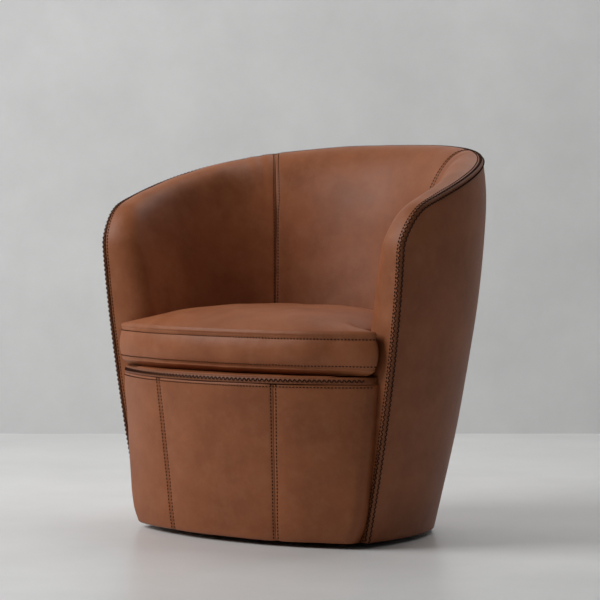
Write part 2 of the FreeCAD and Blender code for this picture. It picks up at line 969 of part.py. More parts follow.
def cushion_section(z, side_inset, front_inset, share, cover):
    """Outline of the cushion at a height: along the wall, round the arm tips and across the bowed front."""
    inset = cushion_clearance + side_inset + cover
    level = min(z, cushion_seam_high)
    rays = stations(cushion_first_angle, full_turn - cushion_first_angle, plan_points)
    back = [ray.point(ray.inner(level) - inset, z) for ray in rays]
    between_arms = inner_x(cushion_front_end_y, level)
    half = between_arms + (cushion_top_width / 2 - between_arms) * share ** cushion_flare_power
    half = half - front_inset - cover
    bow = cushion_front_bow - front_inset - cover
    front = bowed(half, half, cushion_front_end_y, bow, cushion_bow_power, z)
    neck_y = arm_nose_y(level) - cushion_clearance - cover
    neck_x = inner_x(neck_y, level) - inset
    middle = vector(0, cushion_centre_y, z)
    necks = [vector(-neck_x, neck_y, z), vector(neck_x, neck_y, z)]
    back, front, necks = [
        [middle + (point - middle) * share for point in group] for group in (back, front[::-1], necks)
    ]
    right, left = necks
    return Part.Wire([
        spline(back),
        line(back[-1], right),
        line(right, front[0]),
        spline(front),
        line(front[-1], left),
        line(left, back[0]),
    ])


def cushion_body(cover):
    """The cushion below its upper seam: drawn in underneath, with full sides."""
    base = deck_height + cushion_rest_gap
    middle = (cushion_seam_low + cushion_seam_high) / 2
    draw = cushion_draw_in
    return loft([
        cushion_section(base + cover, draw, draw * 2, 1, cover),
        cushion_section((base + cushion_seam_low) / 2, draw / 2, draw, 1, cover),
        cushion_section(cushion_seam_low, draw / 4, draw / 4, 1, cover),
        cushion_section(middle, 0, -cushion_bulge, 1, cover),
        cushion_section(cushion_seam_high, draw / 4, 0, 1, cover),
    ])


def cushion_top(cover):
    """The crown above the upper seam."""
    wires = []
    for share in cushion_crown_shares:
        rise = (cushion_crown - cover) * (1 - share ** cushion_crown_power)
        wires.append(cushion_section(cushion_seam_high + rise, cushion_draw_in / 4, 0, share, cover))
    return loft(wires)


def zip_ring(outer, inner, height, half_angle):
    """An arc of the zip's curve at the back of the cushion."""
    low = (cushion_seam_low + cushion_seam_high - height) / 2
    centre = vector(0, zip_centre_y, low)
    turn = 2 * half_angle
    rings = []
    for radius in (outer, inner):
        sector = Part.makeCylinder(radius, height, centre, vector(0, 0, 1), turn)
        sector.rotate(centre, vector(0, 0, 1), quarter_turn - half_angle)
        rings.append(sector)
    return rings[0].cut(rings[1])


def everything_below(height):
    span = shell_width * 2
    return slab(-shell_width, -shell_width, -overrun, span, span, height + overrun)


def cushion():
    whole_body = cushion_body(0)
    core_body = cushion_body(cushion_cover)
    half_angle = math.degrees(zip_length / 2 / zip_radius)
    back = zip_radius + overrun
    recess = zip_ring(back, zip_radius - zip_thickness, zip_height, half_angle)
    depth = cushion_cover + layer_gap
    hollow_height = zip_height + depth * 2
    hollow = zip_ring(back, zip_radius - zip_thickness - depth, hollow_height, half_angle)
    skin = whole_body.cut(core_body)
    below = everything_below(cushion_seam_low)
    pieces["cushion_bottom_cover"] = skin.common(below)
    pieces["cushion_boxing"] = skin.cut(below).cut(recess)
    pieces["cushion_top_cover"] = cushion_top(0).cut(cushion_top(cushion_cover))
    foam = core_body.fuse(cushion_top(cushion_cover)).removeSplitter()
    pieces["cushion_foam"] = foam.cut(hollow)
    tape_height = zip_height - layer_gap * 2
    pieces["cushion_zip"] = zip_ring(zip_radius, zip_radius - zip_thickness, tape_height, half_angle)


def zip_slider():
    """The zip's slider, parked at the left end of the zip, with its pull hanging down."""
    half_angle = math.degrees(slider_length / 2 / zip_radius)
    inner = zip_radius + slider_gap
    body = zip_ring(inner + slider_thickness, inner, slider_height, half_angle)
    parked = math.degrees((zip_length / 2 - slider_length) / zip_radius)
    body.rotate(vector(0, zip_centre_y, 0), vector(0, 0, 1), -parked)
    pieces["zip_slider"] = body


def revolved(points):
    """A round piece about the swivel axis from its half section, as (radius, height) pairs."""
    corners = [vector(radius, swivel_y, z) for radius, z in points]
    face = Part.Face(Part.makePolygon(corners + corners[:1]))
    return face.revolve(vector(0, swivel_y, 0), vector(0, 0, 1), full_turn)


def race_groove(z):
    return Part.makeTorus(race_radius, ball_radius + ball_gap, vector(0, swivel_y, z))


def bolts(places, radius, low, high, head_radius, head_height, head_below):
    """Round-headed bolts along Z, with the head below or above the shank."""
    made = []
    for x, y in places:
        shank = cylinder(radius, high - low, x, y, low)
        start = low - head_height if head_below else high
        made.append(shank.fuse(cylinder(head_radius, head_height, x, y, start)).removeSplitter())
    return made


def hexagon(width, height, z):
    corners = []
    radius = width / 2 / cosine(full_turn / hexagon_sides / 2)
    for x, y in around_axis(hexagon_sides, radius):
        corners.append(vector(x, y, z))
    return Part.Face(Part.makePolygon(corners + corners[:1])).extrude(vector(0, 0, height))


def swivel_base():
    """Glides, plinth and lower bearing plate, which stay on the floor."""
    glides = []
    for x, y in around_axis(glide_count, glide_circle_radius, full_turn / glide_count / 2):
        glides.append(cylinder(glide_radius, glide_height, x, y, 0))
    pieces["floor_glides"] = Part.makeCompound(glides)
    plinth = revolved([
        (pivot_head_radius + running_gap, glide_height),
        (plinth_radius - plinth_edge, glide_height),
        (plinth_radius, glide_height + plinth_edge),
        (plinth_radius, plinth_top - plinth_edge),
        (plinth_radius - plinth_edge, plinth_top),
        (pivot_head_radius + running_gap, plinth_top),
    ])
    plate_top = plinth_top + plate_thickness
    half_race = race_width / 2
    bore = pivot_radius + pivot_running_clearance
    lower = revolved([
        (bore, plinth_top),
        (plate_radius, plinth_top),
        (plate_radius, plate_top),
        (race_radius + half_race, plate_top),
        (race_radius + half_race, plate_top + race_height),
        (race_radius - half_race, plate_top + race_height),
        (race_radius - half_race, plate_top),
        (bore, plate_top),
    ])
    lower = lower.cut(race_groove(ball_height))
    places = list(around_axis(bolt_count, plate_screw_circle_radius, full_turn / bolt_count / 2))
    low = glide_height + layer_gap
    screws = bolts(places, screw_radius, low, plate_top, bolt_head_radius, bolt_head_height, False)
    for screw in screws:
        plinth = plinth.cut(screw)
        lower = lower.cut(screw)
    pieces["plinth"] = plinth
    pieces["lower_bearing_plate"] = lower
    pieces["plinth_screws"] = Part.makeCompound(screws)


def bearing():
    """Balls and their retainer, between the two plates."""
    places = list(around_axis(ball_count, race_radius))
    balls = [Part.makeSphere(ball_radius, vector(x, y, ball_height)) for x, y in places]
    pieces["bearing_balls"] = Part.makeCompound(balls)
    inner = race_radius - cage_width / 2
    low = ball_height - cage_thickness / 2
    cage = cylinder(inner + cage_width, cage_thickness, 0, swivel_y, low)
    cage = cage.cut(cylinder(inner, cage_thickness, 0, swivel_y, low))
    for x, y in places:
        cage = cage.cut(cylinder(ball_radius + cage_ball_gap, cage_thickness, x, y, low))
    pieces["ball_retainer"] = cage


def upper_plate():
    """The bearing plate under the cross rails, and the pivot bolt, washer and nut that hold it down."""
    top = ring_top - layer_gap
    low = top - plate_thickness
    race_low = ball_height + race_split / 2
    half_race = race_width / 2
    bore = pivot_radius + pivot_running_clearance
    plate = revolved([
        (bore, low),
        (race_radius - half_race, low),
        (race_radius - half_race, race_low),
        (race_radius + half_race, race_low),
        (race_radius + half_race, low),
        (flange_radius, low),
        (flange_radius, top),
        (bore, top),
    ])
    plate = plate.cut(race_groove(ball_height))
    rear_y = cross_rail_spacing / 2
    places = []
    for x in (-rear_y, rear_y):
        for y in (swivel_y - rear_y, swivel_y + rear_y):
            places.append((x, y))
    high = ring_top + screw_length
    screws = bolts(places, bolt_radius, low, high, bolt_head_radius, bolt_head_height, True)
    pieces["mounting_bolts"] = Part.makeCompound(screws)
    for screw in screws:
        pieces["cross_rails"] = pieces["cross_rails"].cut(screw)
        plate = plate.cut(screw)
    pieces["upper_bearing_plate"] = plate
    washer_low = top + running_gap
    nut_low = washer_low + pivot_washer_thickness
    nut_top = nut_low + pivot_nut_height
    head_low = plinth_top - pivot_head_height
    bolt = cylinder(pivot_radius, nut_top + pivot_radius / 2 - plinth_top, 0, swivel_y, plinth_top)
    bolt = bolt.fuse(cylinder(pivot_head_radius, pivot_head_height, 0, swivel_y, head_low)).removeSplitter()
    pieces["pivot_bolt"] = bolt
    washer = cylinder(pivot_washer_radius, pivot_washer_thickness, 0, swivel_y, washer_low)
    pieces["pivot_washer"] = washer.cut(bolt)
    pieces["pivot_nut"] = hexagon(pivot_nut_width, pivot_nut_height, nut_low).cut(bolt)


def wood_screw(start, end):
    """A screw from its head's underside to its tip."""
    along = end - start
    shank = Part.makeCylinder(screw_radius, along.Length, start, along)
    back = start - along.normalize() * screw_head_height
    head = Part.makeCylinder(screw_head_radius, screw_head_height, back, along)
    return shank.fuse(head).removeSplitter()


def frame_screws():
    """Screws through the bottom ring into the uprights, and through the cross rails into the ring."""
    screws = []
    for angle in (post_screw_angle, side_rib_angle, quarter_rib_angle, half_turn):
        ray = Ray(angle)
        low = ring_bottom + ring_height / 2
        high = ring_top + screw_length
        start = ray.point(ray.outer(low) - core_depth - screw_edge, low)
        end = ray.point((ray.outer(high) - core_depth + ray.foam_back(high) + core_gap) / 2, high)
        screws.append(wood_screw(start, end))
        if angle < half_turn:
            screws.append(mirrored(screws[-1]))
    for side in (-1, 1):
        y = swivel_y + side * cross_rail_spacing / 2
        for x in (-rail_screw_x, rail_screw_x):
            top = ring_top + cross_rail_height - screw_head_height
            screws.append(wood_screw(vector(x, y, top), vector(x, y, ring_top - ring_height / 2)))
    for name in ("bottom_ring", "cross_rails", "front_posts", "side_ribs", "quarter_ribs", "back_rib"):
        for screw in screws:
            pieces[name] = pieces[name].cut(screw)
    ring = pieces["bottom_ring"]
    for screw in screws[:-rail_screw_count]:
        lowest = screw.BoundBox.ZMin
        place = screw.BoundBox.Center
        pocket = cylinder(screw_head_radius + layer_gap, lowest + screw_head_height, place.x, place.y, 0)
        ring = ring.cut(pocket)
    pieces["bottom_ring"] = ring
    pieces["frame_screws"] = Part.makeCompound(screws)


outside_leathers()
inside_leathers()
inside_foams()
shell_sheets()
top_rails()
uprights()
front_panel()
front_lip()
bottom_ring()
cross_rails()
seat_frame()
seat_blocks()
seat_springs()
deck()
back_webbing()
cushion()
zip_slider()
swivel_base()
bearing()
upper_plate()
frame_screws()

os.makedirs("parts", exist_ok=True)
for name, shape in pieces.items():
    shape.exportStep("parts/" + name + ".step")
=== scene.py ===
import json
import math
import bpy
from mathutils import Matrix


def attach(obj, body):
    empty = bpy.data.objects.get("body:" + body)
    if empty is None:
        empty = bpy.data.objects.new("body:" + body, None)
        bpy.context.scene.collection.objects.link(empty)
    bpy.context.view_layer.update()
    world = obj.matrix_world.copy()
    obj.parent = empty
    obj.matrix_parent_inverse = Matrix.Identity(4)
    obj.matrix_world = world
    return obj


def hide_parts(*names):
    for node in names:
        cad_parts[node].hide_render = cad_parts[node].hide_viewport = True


bl_info = {
    "name": "Leather Swivel Club Chair",
    "version": (1, 0, 0),
    "blender": (4, 5, 0),
    "location": "View3D > Sidebar > Club Chair",
    "description": "Dresses the club chair's frame in leather, stitching and a small studio",
    "category": "Add Mesh",
}

import bpy
import numpy as np
from bpy.props import FloatProperty, FloatVectorProperty, PointerProperty
from mathutils import Vector
from mathutils.bvhtree import BVHTree

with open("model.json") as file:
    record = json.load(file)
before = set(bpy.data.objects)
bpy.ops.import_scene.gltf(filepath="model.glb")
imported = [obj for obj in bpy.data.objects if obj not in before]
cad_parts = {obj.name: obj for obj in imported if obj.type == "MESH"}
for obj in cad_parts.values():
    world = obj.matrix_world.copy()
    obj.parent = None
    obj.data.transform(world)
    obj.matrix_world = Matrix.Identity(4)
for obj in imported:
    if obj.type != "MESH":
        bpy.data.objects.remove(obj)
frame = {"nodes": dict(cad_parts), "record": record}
MIRROR = np.array([-1, 1, 1])
START_SHARE = 0.02  # where the inside skins start, as a share of their roll over the rim
PUCKERS = {  # folds beside the back's seams: their width, then distance from the seam and height
    "left": (0.008, ((0.030, 0.0006), (0.050, -0.0005))),
    "right": (0.006, ((0.022, 0.0013), (0.036, -0.0012), (0.052, 0.0010), (0.070, -0.0007))),
    "back": (1, ()),
}
STRAP_HEIGHTS = (0.345, 0.420, 0.495, 0.570)
STRAP_WIDTH = 0.042
STRAP_ENDS = (96, 264)  # degrees round the pole
SEAT_CENTRE_Y = 0.04
SKIN_SPACING = 0.006  # between the columns of a skin
STEP = 0.001  # step of a slope that is measured on a form


def length(name, text, default):
    return FloatProperty(name=name, description=text, default=default, unit="LENGTH", precision=4)


def share(name, text, default):
    return FloatProperty(name=name, description=text, default=default, subtype="FACTOR")


def power(name, text, default):
    return FloatProperty(name=name, description=text, default=default)


def turn(name, text, degrees):
    return FloatProperty(name=name, description=text, default=math.radians(degrees), subtype="ANGLE")


def colour(name, text, default):
    return FloatVectorProperty(name=name, description=text, default=default, subtype="COLOR", size=3,
                               min=0, max=1)


class ClubShellSizes(bpy.types.PropertyGroup):
    width: length("Width", "Widest width of the shell, outside its leather", 0.760)
    base_width: length("Base width", "Width of the shell at its bottom edge", 0.574)
    rim_width: length("Rim width", "Width of the shell at the height of the back's rim", 0.732)
    pole_y: length("Pole", "Place along Y of the upright line that the rays start from", -0.099)
    centre_setback: length("Centre setback", "How far behind the pole the widest line lies", 0.035)
    back_depth: length("Back depth", "Depth of the plan behind its widest line", 0.370)
    front_depth: length("Front depth", "Depth of the plan's curve in front of its widest line", 0.450)
    plan_power: power("Plan power", "Roundness of the plan, 2 is an ellipse", 2.2)
    profile_power: power("Profile power", "How fast the sides draw in towards the floor", 1.55)
    widest_height: length("Widest height", "Height at which the shell is widest", 0.640)
    floor_gap: length("Floor gap", "Clear height under the shell", 0.010)
    rim_height: length("Rim height", "Height of the welt at the middle of the back", 0.759)
    arm_drop: length("Arm drop", "How much lower the rim is after the rim run", 0.108)
    rim_run: length("Rim run", "Length along Y over which the rim falls by the arm drop", 0.400)
    rim_power: power("Rim power", "Curve of the falling rim", 1.27)
    corner_drop: length("Corner drop", "Further fall of the rim at the tip of the arm", 0.052)
    corner_run: length("Corner run", "Length along Y of that further fall", 0.067)
    corner_start: length("Corner start", "Place along Y where the arm's tip starts to fall", -0.130)
    corner_power: power("Corner power", "Curve of the arm's tip", 2.5)
    inner_power: power("Inner plan power", "Roundness of the plan inside", 2.0)
    arm_wall: length("Arm wall", "Thickness of the wall at the top of the arms", 0.066)
    back_wall: length("Back wall", "Thickness of the wall at the top of the back", 0.100)
    inside_lean: length("Inside lean", "How much thicker the wall is below the lean run", 0.035)
    lean_run: length("Lean run", "Height below the rim over which the wall gets thicker", 0.390)
    arm_crown: length("Arm crown", "Rise of the padded rim above its welt, on the arms", 0.0135)
    back_crown: length("Back crown", "Rise of the padded rim above its welt, round the back", 0.0100)
    arm_shoulder: length("Arm shoulder", "Height over which the arm's rim rolls to the inside", 0.032)
    back_shoulder: length("Back shoulder", "Height over which the back's rim slopes to the inside", 0.100)
    slope_start: turn("Slope start", "Angle round the pole where the rim's roll turns to a slope", 118)
    front_foot_y: length("Front foot", "Place along Y of the arm front at the floor", -0.180)
    front_top_y: length("Front top", "Place along Y of the arm front at its top", -0.198)
    front_crown: length("Front crown", "Swell of the arm front ahead of its welt", 0.0075)
    front_roll: length("Front roll", "Depth over which the arm front rolls to the inside", 0.021)
    strap_inset_arm: length("Strap inset at the arms", "Thickness outside the straps, at the arms", 0.0304)
    strap_inset_back: length("Strap inset at the back", "Thickness outside the straps, at the back", 0.0384)
    seam_angle: turn("Seam angle", "Angle round the pole of the back's seams, 180 is its middle", 142)
    seat_line: length("Seat line", "Height at which the inside leather ends under the cushion", 0.294)
    leather: length("Leather", "Thickness of the leather", 0.0016)


class ClubPanelSizes(bpy.types.PropertyGroup):
    top_width: length("Top width", "Width of the front panel at its top", 0.612)
    foot_width: length("Foot width", "Width of the front panel at its foot", 0.548)
    top_height: length("Top height", "Height of the front panel's top edge", 0.306)
    top_end_y: length("Top end", "Place along Y of the top corners", -0.200)
    foot_end_y: length("Foot end", "Place along Y of the bottom corners", -0.211)
    top_bow: length("Top bow", "Bow of the panel at its top", 0.107)
    foot_bow: length("Foot bow", "Bow of the panel at its foot", 0.061)
    bow_power: power("Bow power", "Curve of the bow, 2 is a parabola", 2.25)
    seam_share: share("Seam share", "Place of the upright seams as a share of the half width", 0.458)
    corner_height: length("Corner height", "Height of the rounded bottom corners", 0.080)
    corner_inset: length("Corner inset", "How far the bottom corners are drawn in", 0.013)
    corner_power: power("Corner power", "Curve of the bottom corners", 2.6)
    side_roll: length("Side roll", "Radius of the panel's rolled side edges", 0.013)
    edge_roll: length("Edge roll", "Radius of the panel's rolled top and bottom edges", 0.005)
    side_depth: length("Side depth", "How far the sides run back past the roll", 0.016)
    band_height: length("Band height", "Height of the stitched band above the panel", 0.012)
    band_roll: length("Band roll", "How far the band leans back", 0.005)
    swell: length("Swell", "Swell of the padding between the seams", 0.0015)


class ClubCushionSizes(bpy.types.PropertyGroup):
    rest_height: length("Rest height", "Height of the cushion's underside", 0.3204)
    seam_low: length("Lower seam", "Height of the lower seam", 0.334)
    seam_high: length("Upper seam", "Height of the upper seam", 0.394)
    crown: length("Crown", "Rise of the top above the upper seam", 0.047)
    crown_power: power("Crown power", "Flatness of the crown's middle", 4)
    clearance: length("Clearance", "Gap between the cushion and the shell", 0.0012)
    top_width: length("Front width", "Width of the cushion across its front corners", 0.630)
    front_end_y: length("Front ends", "Place along Y of the front corners", -0.201)
    front_bow: length("Front bow", "Bow of the cushion's front", 0.078)
    bow_power: power("Bow power", "Curve of the front", 2.45)
    bulge: length("Bulge", "Swell of the front boxing", 0.0045)
    draw_in: length("Draw in", "How far the underside is drawn in", 0.014)
    first_angle: turn("First angle", "Angle round the pole where the front starts", 74.2)
    corner_radius: length("Corner radius", "Softness of the two front corners", 0.013)
    centre_y: length("Centre", "Place along Y that the top and underside close in on", -0.150)
    zip_radius: length("Zip radius", "Radius of the zip's arc", 0.280)
    zip_centre_y: length("Zip centre", "Place along Y of the middle of the zip's arc", -0.139572)
    zip_half_angle: turn("Zip half angle", "Half of the angle that the zip covers", 30.69)
    zip_height: length("Zip height", "Height of the zip's tape", 0.0254)
    pucker: length("Pucker", "Depth of the small puckers beside the seams", 0.00028)


class ClubSeamSizes(bpy.types.PropertyGroup):
    welt_width: length("Welt width", "Half width of the stitched welt on each side of the edge", 0.0060)
    row_offset: length("Row offset", "Distance of a stitch row from its seam", 0.0045)
    stitch_pitch: length("Stitch pitch", "Distance between stitches", 0.0066)
    stitch_length: length("Stitch length", "Length of one stitch", 0.0048)
    zigzag_pitch: length("Zigzag pitch", "Distance between the slanting stitches of the welt", 0.0046)
    zigzag_length: length("Zigzag length", "Length of one slanting stitch", 0.0086)
    thread: length("Thread", "Radius of the thread", 0.0011)
    zigzag_thread: length("Zigzag thread", "Radius of the thread of the slanting stitches", 0.00115)
    crease_depth: length("Crease depth", "Depth of a seam's crease", 0.0019)
    crease_width: length("Crease width", "Half width of a seam's crease", 0.0018)


class ClubFinishes(bpy.types.PropertyGroup):
    leather: colour("Leather", "Main colour of the leather", (0.312, 0.100, 0.036))
    leather_dark: colour("Dark leather", "Colour of the leather's darker clouds", (0.240, 0.073, 0.025))
    leather_worn: colour("Rubbed leather", "Colour of the leather where it is rubbed", (0.370, 0.150, 0.072))
    thread: colour("Thread", "Colour of the stitching", (0.042, 0.016, 0.009))
    roughness: share("Roughness", "Roughness of the leather's finish", 0.50)
    grain_size: length("Grain size", "Size of the leather's pores", 0.0011)
    wood: colour("Wood", "Colour of the frame's wood", (0.46, 0.30, 0.17))
    steel: colour("Steel", "Colour of the plated steel", (0.55, 0.56, 0.58))
    black: colour("Black", "Colour of the plinth and glides", (0.012, 0.012, 0.013))
    cloth: colour("Cloth", "Colour of the lining cloth", (0.020, 0.019, 0.018))
    webbing: colour("Webbing", "Colour of the elastic straps", (0.30, 0.20, 0.11))


class ClubStageSettings(bpy.types.PropertyGroup):
    camera_place: FloatVectorProperty(
        name="Camera", description="Place of the camera", default=(2.7496, -3.6184, 0.6173),
        subtype="TRANSLATION")
    camera_turn: turn("Camera turn", "Turn of the camera round Z", 37.403)
    camera_tilt: turn("Camera tilt", "Tilt of the camera from looking straight down", 87.875)
    lens: FloatProperty(name="Lens", description="Focal length", default=138.05, unit="CAMERA")
    wall_distance: length("Wall distance", "Distance of the backdrop behind the origin", 1.93)
    key_power: FloatProperty(
        name="Key light", description="Power of the main lamp", default=106, unit="POWER")
    top_power: FloatProperty(
        name="Top light", description="Power of the lamp overhead", default=36, unit="POWER")
    fill_strength: power("Fill", "Strength of the surrounding light", 0.075)
    background: power("Background", "Brightness of the background beside the backdrop", 0.55)
    floor: colour("Floor", "Colour of the floor", (0.78, 0.78, 0.775))
    wall: colour("Backdrop", "Colour of the backdrop", (0.78, 0.785, 0.785))


def smoothstep(value):
    value = np.clip(value, 0, 1)
    return value * value * (3 - 2 * value)


def bezier(t, ends):
    """A cubic through four numbers or arrays of control values."""
    a, b, c, d = ends
    u = 1 - t
    return u ** 3 * a + 3 * u * u * t * b + 3 * u * t * t * c + t ** 3 * d


def unit(vectors):
    return vectors / np.maximum(np.linalg.norm(vectors, axis=-1, keepdims=True), 1e-12)


def softened(points, spacing, radius, around=False):
    """Points along a line, smoothed over the radius. The ends stay where they are."""
    reach = max(int(3 * radius / spacing), 1)
    weights = np.exp(-0.5 * (np.arange(-reach, reach + 1) * spacing / radius) ** 2)
    weights /= weights.sum()
    if around:
        padded = np.concatenate([points[-reach:], points, points[:reach]])
    else:
        before = 2 * points[0] - points[reach:0:-1]
        after = 2 * points[-1] - points[-2:-reach - 2:-1]
        padded = np.concatenate([before, points, after])
    return np.stack([np.convolve(padded[:, k], weights, "valid") for k in range(points.shape[1])], axis=1)


def run_lengths(points):
    steps = np.linalg.norm(np.diff(points, axis=0), axis=1)
    return np.concatenate([[0], np.cumsum(steps)])


def resampled(points, count, around=False):
    """The same line with evenly spaced points."""
    if around:
        points = np.concatenate([points, points[:1]])
    run = run_lengths(points)
    places = np.linspace(0, run[-1], count, endpoint=not around)
    return np.stack([np.interp(places, run, points[:, k]) for k in range(3)], axis=1)


def clustered(low, high, spacing, seams):
    """Places from low to high, with more of them beside the seams."""
    offsets = (0, 0.0007, 0.0015, 0.0026, 0.0035, 0.0045, 0.0055, 0.0075)
    places = [value for value in np.linspace(low, high, int((high - low) / spacing) + 2)
              if all(abs(value - seam) > offsets[-1] * 1.3 for seam in seams) or value in (low, high)]
    for seam in seams:
        for offset in offsets:
            for side in (-1, 1):
                if low <= seam + side * offset <= high:
                    places.append(seam + side * offset)
    return np.unique(np.round(places, 7))


def crease(distance, seam):
    """Depth of a seam's crease at a distance from it."""
    row_depth, row_width = 0.0007, 0.0011
    pull_depth, pull_width = 0.0008, 0.012
    away = np.abs(distance)
    rows = row_depth * np.exp(-((away - seam.row_offset) / row_width) ** 2)
    pull = pull_depth * np.exp(-(away / pull_width) ** 2)
    return seam.crease_depth * np.exp(-(away / seam.crease_width) ** 1.3) + rows + pull


def ripple(points, size, seed):
    """Smooth unevenness between about -1 and 1, the same on every run."""
    waves, height = 9, 4.2
    picks = np.random.RandomState(seed)
    total = np.zeros(points.shape[:-1])
    for _ in range(waves):
        direction = unit(picks.normal(size=3))
        wave = 2 * math.pi / (size * picks.uniform(0.6, 1.7))
        total += np.sin(points @ direction * wave + picks.uniform(0, 6.3))
    return total / height


def grid_normals(grid):
    across = np.gradient(grid, axis=0)
    along = np.gradient(grid, axis=1)
    return unit(np.cross(across, along))


class ShellForm:
    """The shell's wall: an outer and an inner outline, both drawn in towards the floor, and its rim."""

    def __init__(self, sizes):
        self.sizes = sizes

    def spread(self, z):
        s = self.sizes
        fall = np.maximum(s.widest_height - z, 0) / (s.widest_height - s.floor_gap)
        rise = np.maximum(z - s.widest_height, 0) / (s.rim_height - s.widest_height)
        drawn_in = (1 - s.base_width / s.width) * fall ** s.profile_power
        return 1 - drawn_in - (1 - s.rim_width / s.width) * rise ** 2

    def face(self, inner):
        """Half width, depth behind the widest line and roundness of the outside or inside plan."""
        s = self.sizes
        if inner:
            return s.width / 2 - s.arm_wall, s.back_depth - s.back_wall, s.inner_power
        return s.width / 2, s.back_depth, s.plan_power

    def slope(self, angle):
        """Share by which the rim slopes to the inside rather than rolls, at an angle round the pole."""
        s = self.sizes
        return smoothstep((angle - s.slope_start) / (s.seam_angle - s.slope_start))

    def plan(self, angle, half, back, roundness):
        """Distance from the pole to an outline with the given half width, depth and roundness."""
        s = self.sizes
        low = np.zeros(np.shape(angle))
        high = low + 2 * s.width
        for _ in range(36):
            reach = (low + high) / 2
            across = np.abs(reach * np.sin(angle)) / half
            along = -reach * np.cos(angle) - s.centre_setback
            run = np.where(along > 0, along / back, -along / s.front_depth)
            inside = across ** roundness + run ** roundness < 1
            low = np.where(inside, reach, low)
            high = np.where(inside, high, reach)
        return low

    def lean(self, y, z):
        """How much thicker the wall is at a place along Y and a height than at its rim."""
        s = self.sizes
        share = np.clip((self.falling_line(y) - z) / s.lean_run, 0, 1)
        return s.inside_lean * (1 - (1 - share) ** 2)

    def at(self, angle, z, depth):
        """Points of the wall from an angle round the pole, a height and a depth share."""
        angle, z, depth = np.broadcast_arrays(angle, z, np.asarray(depth, float))
        scale = self.spread(z)
        outer = scale * self.plan(angle, *self.face(False))
        inner = scale * self.plan(angle, *self.face(True))
        inner = inner - self.lean(self.sizes.pole_y - inner * np.cos(angle), z)
        reach = outer + (inner - outer) * depth
        return np.stack([reach * np.sin(angle), self.sizes.pole_y - reach * np.cos(angle), z], axis=-1)

    def strap_line(self, angle, z):
        """Points on the inner edges of the uprights, where the straps lie."""
        s = self.sizes
        reach = self.spread(z) * self.plan(angle, s.width / 2 - s.strap_inset_arm,
                                           s.back_depth - s.strap_inset_back, s.plan_power) + 0.0017
        return np.stack([reach * np.sin(angle), s.pole_y - reach * np.cos(angle), z], axis=-1)

    def face_x(self, y, z, inner):
        s = self.sizes
        half, back, roundness = self.face(inner)
        scale = self.spread(z)
        along = (y - s.pole_y) / scale - s.centre_setback
        run = np.where(along > 0, along / back, -along / s.front_depth)
        return scale * half * np.maximum(1 - np.abs(run) ** roundness, 0) ** (1 / roundness)

    def side_x(self, y, z, depth):
        """Half width of the wall's face at a depth share, at a place along Y and a height."""
        outer = self.face_x(y, z, False)
        inner = self.face_x(y, z, True) - self.lean(y, z)
        return outer + (inner - outer) * depth

    def angle_of(self, points):
        return np.arctan2(points[..., 0], self.sizes.pole_y - points[..., 1])

    def front_y(self, z):
        s = self.sizes
        lean = (z - s.floor_gap) / (s.rim_height - s.arm_drop - s.floor_gap)
        return s.front_foot_y + (s.front_top_y - s.front_foot_y) * lean

    def falling_line(self, y):
        """Height of the rim line before its fall at the front corners."""
        s = self.sizes
        run = np.maximum(s.pole_y + s.centre_setback + s.back_depth - y, 0) / s.rim_run
        return s.rim_height - s.arm_drop * run ** s.rim_power

    def rim_line(self, y):
        s = self.sizes
        corner = np.maximum(s.corner_start - y, 0) / s.corner_run
        return self.falling_line(y) - s.corner_drop * corner ** s.corner_power

    def rim_at(self, angle):
        z = np.full(np.shape(angle), self.sizes.rim_height)
        for _ in range(40):
            z = self.rim_line(self.at(angle, z, 0)[..., 1])
        return z


class WeltLine:
    """The edge where the outside and inside leathers meet: up the arm front, then back along the rim."""

    spacing = 0.002
    corner = 0.011

    def __init__(self, shell):
        self.shell = shell
        s = shell.sizes
        z = s.rim_height - s.arm_drop
        for _ in range(60):
            z = (z + shell.rim_line(shell.front_y(z))) / 2
        heights = np.linspace(s.floor_gap, z, 300)
        y = shell.front_y(heights)
        up = np.stack([shell.side_x(y, heights, 0), y, heights], axis=1)
        first = shell.angle_of(up[-1])
        angles = np.linspace(first, math.pi, 500)[1:]
        back = shell.at(angles, shell.rim_at(angles), 0)
        line = np.concatenate([up, back])
        count = int(run_lengths(line)[-1] / self.spacing)
        line = softened(resampled(line, count), self.spacing, self.corner)
        self.run = run_lengths(line)
        self.length = self.run[-1]
        self.angle = shell.angle_of(line)
        self.angle[-1] = math.pi
        self.z = line[:, 2]
        reach = np.hypot(line[:, 0], line[:, 1] - s.pole_y)
        slope = np.arctan2(np.gradient(self.z), reach * np.gradient(self.angle))
        turn_start, turn_span = math.radians(24), math.radians(56)
        turning = smoothstep((slope - turn_start) / turn_span)
        back_share = turning * np.sin(slope)
        down_share = turning * np.cos(slope) + 1 - turning
        size = np.hypot(back_share, down_share)
        self.inward = back_share / size
        self.downward = down_share / size
        self.front = turning

    def pick(self, values, s):
        return np.interp(s, self.run, values)

    def run_at_angle(self, angle):
        half = len(self.run) // 2
        return float(np.interp(angle, self.angle[half:], self.run[half:]))

    def run_at_height(self, z):
        half = len(self.z) // 3
        return float(np.interp(z, self.z[:half], self.run[:half]))


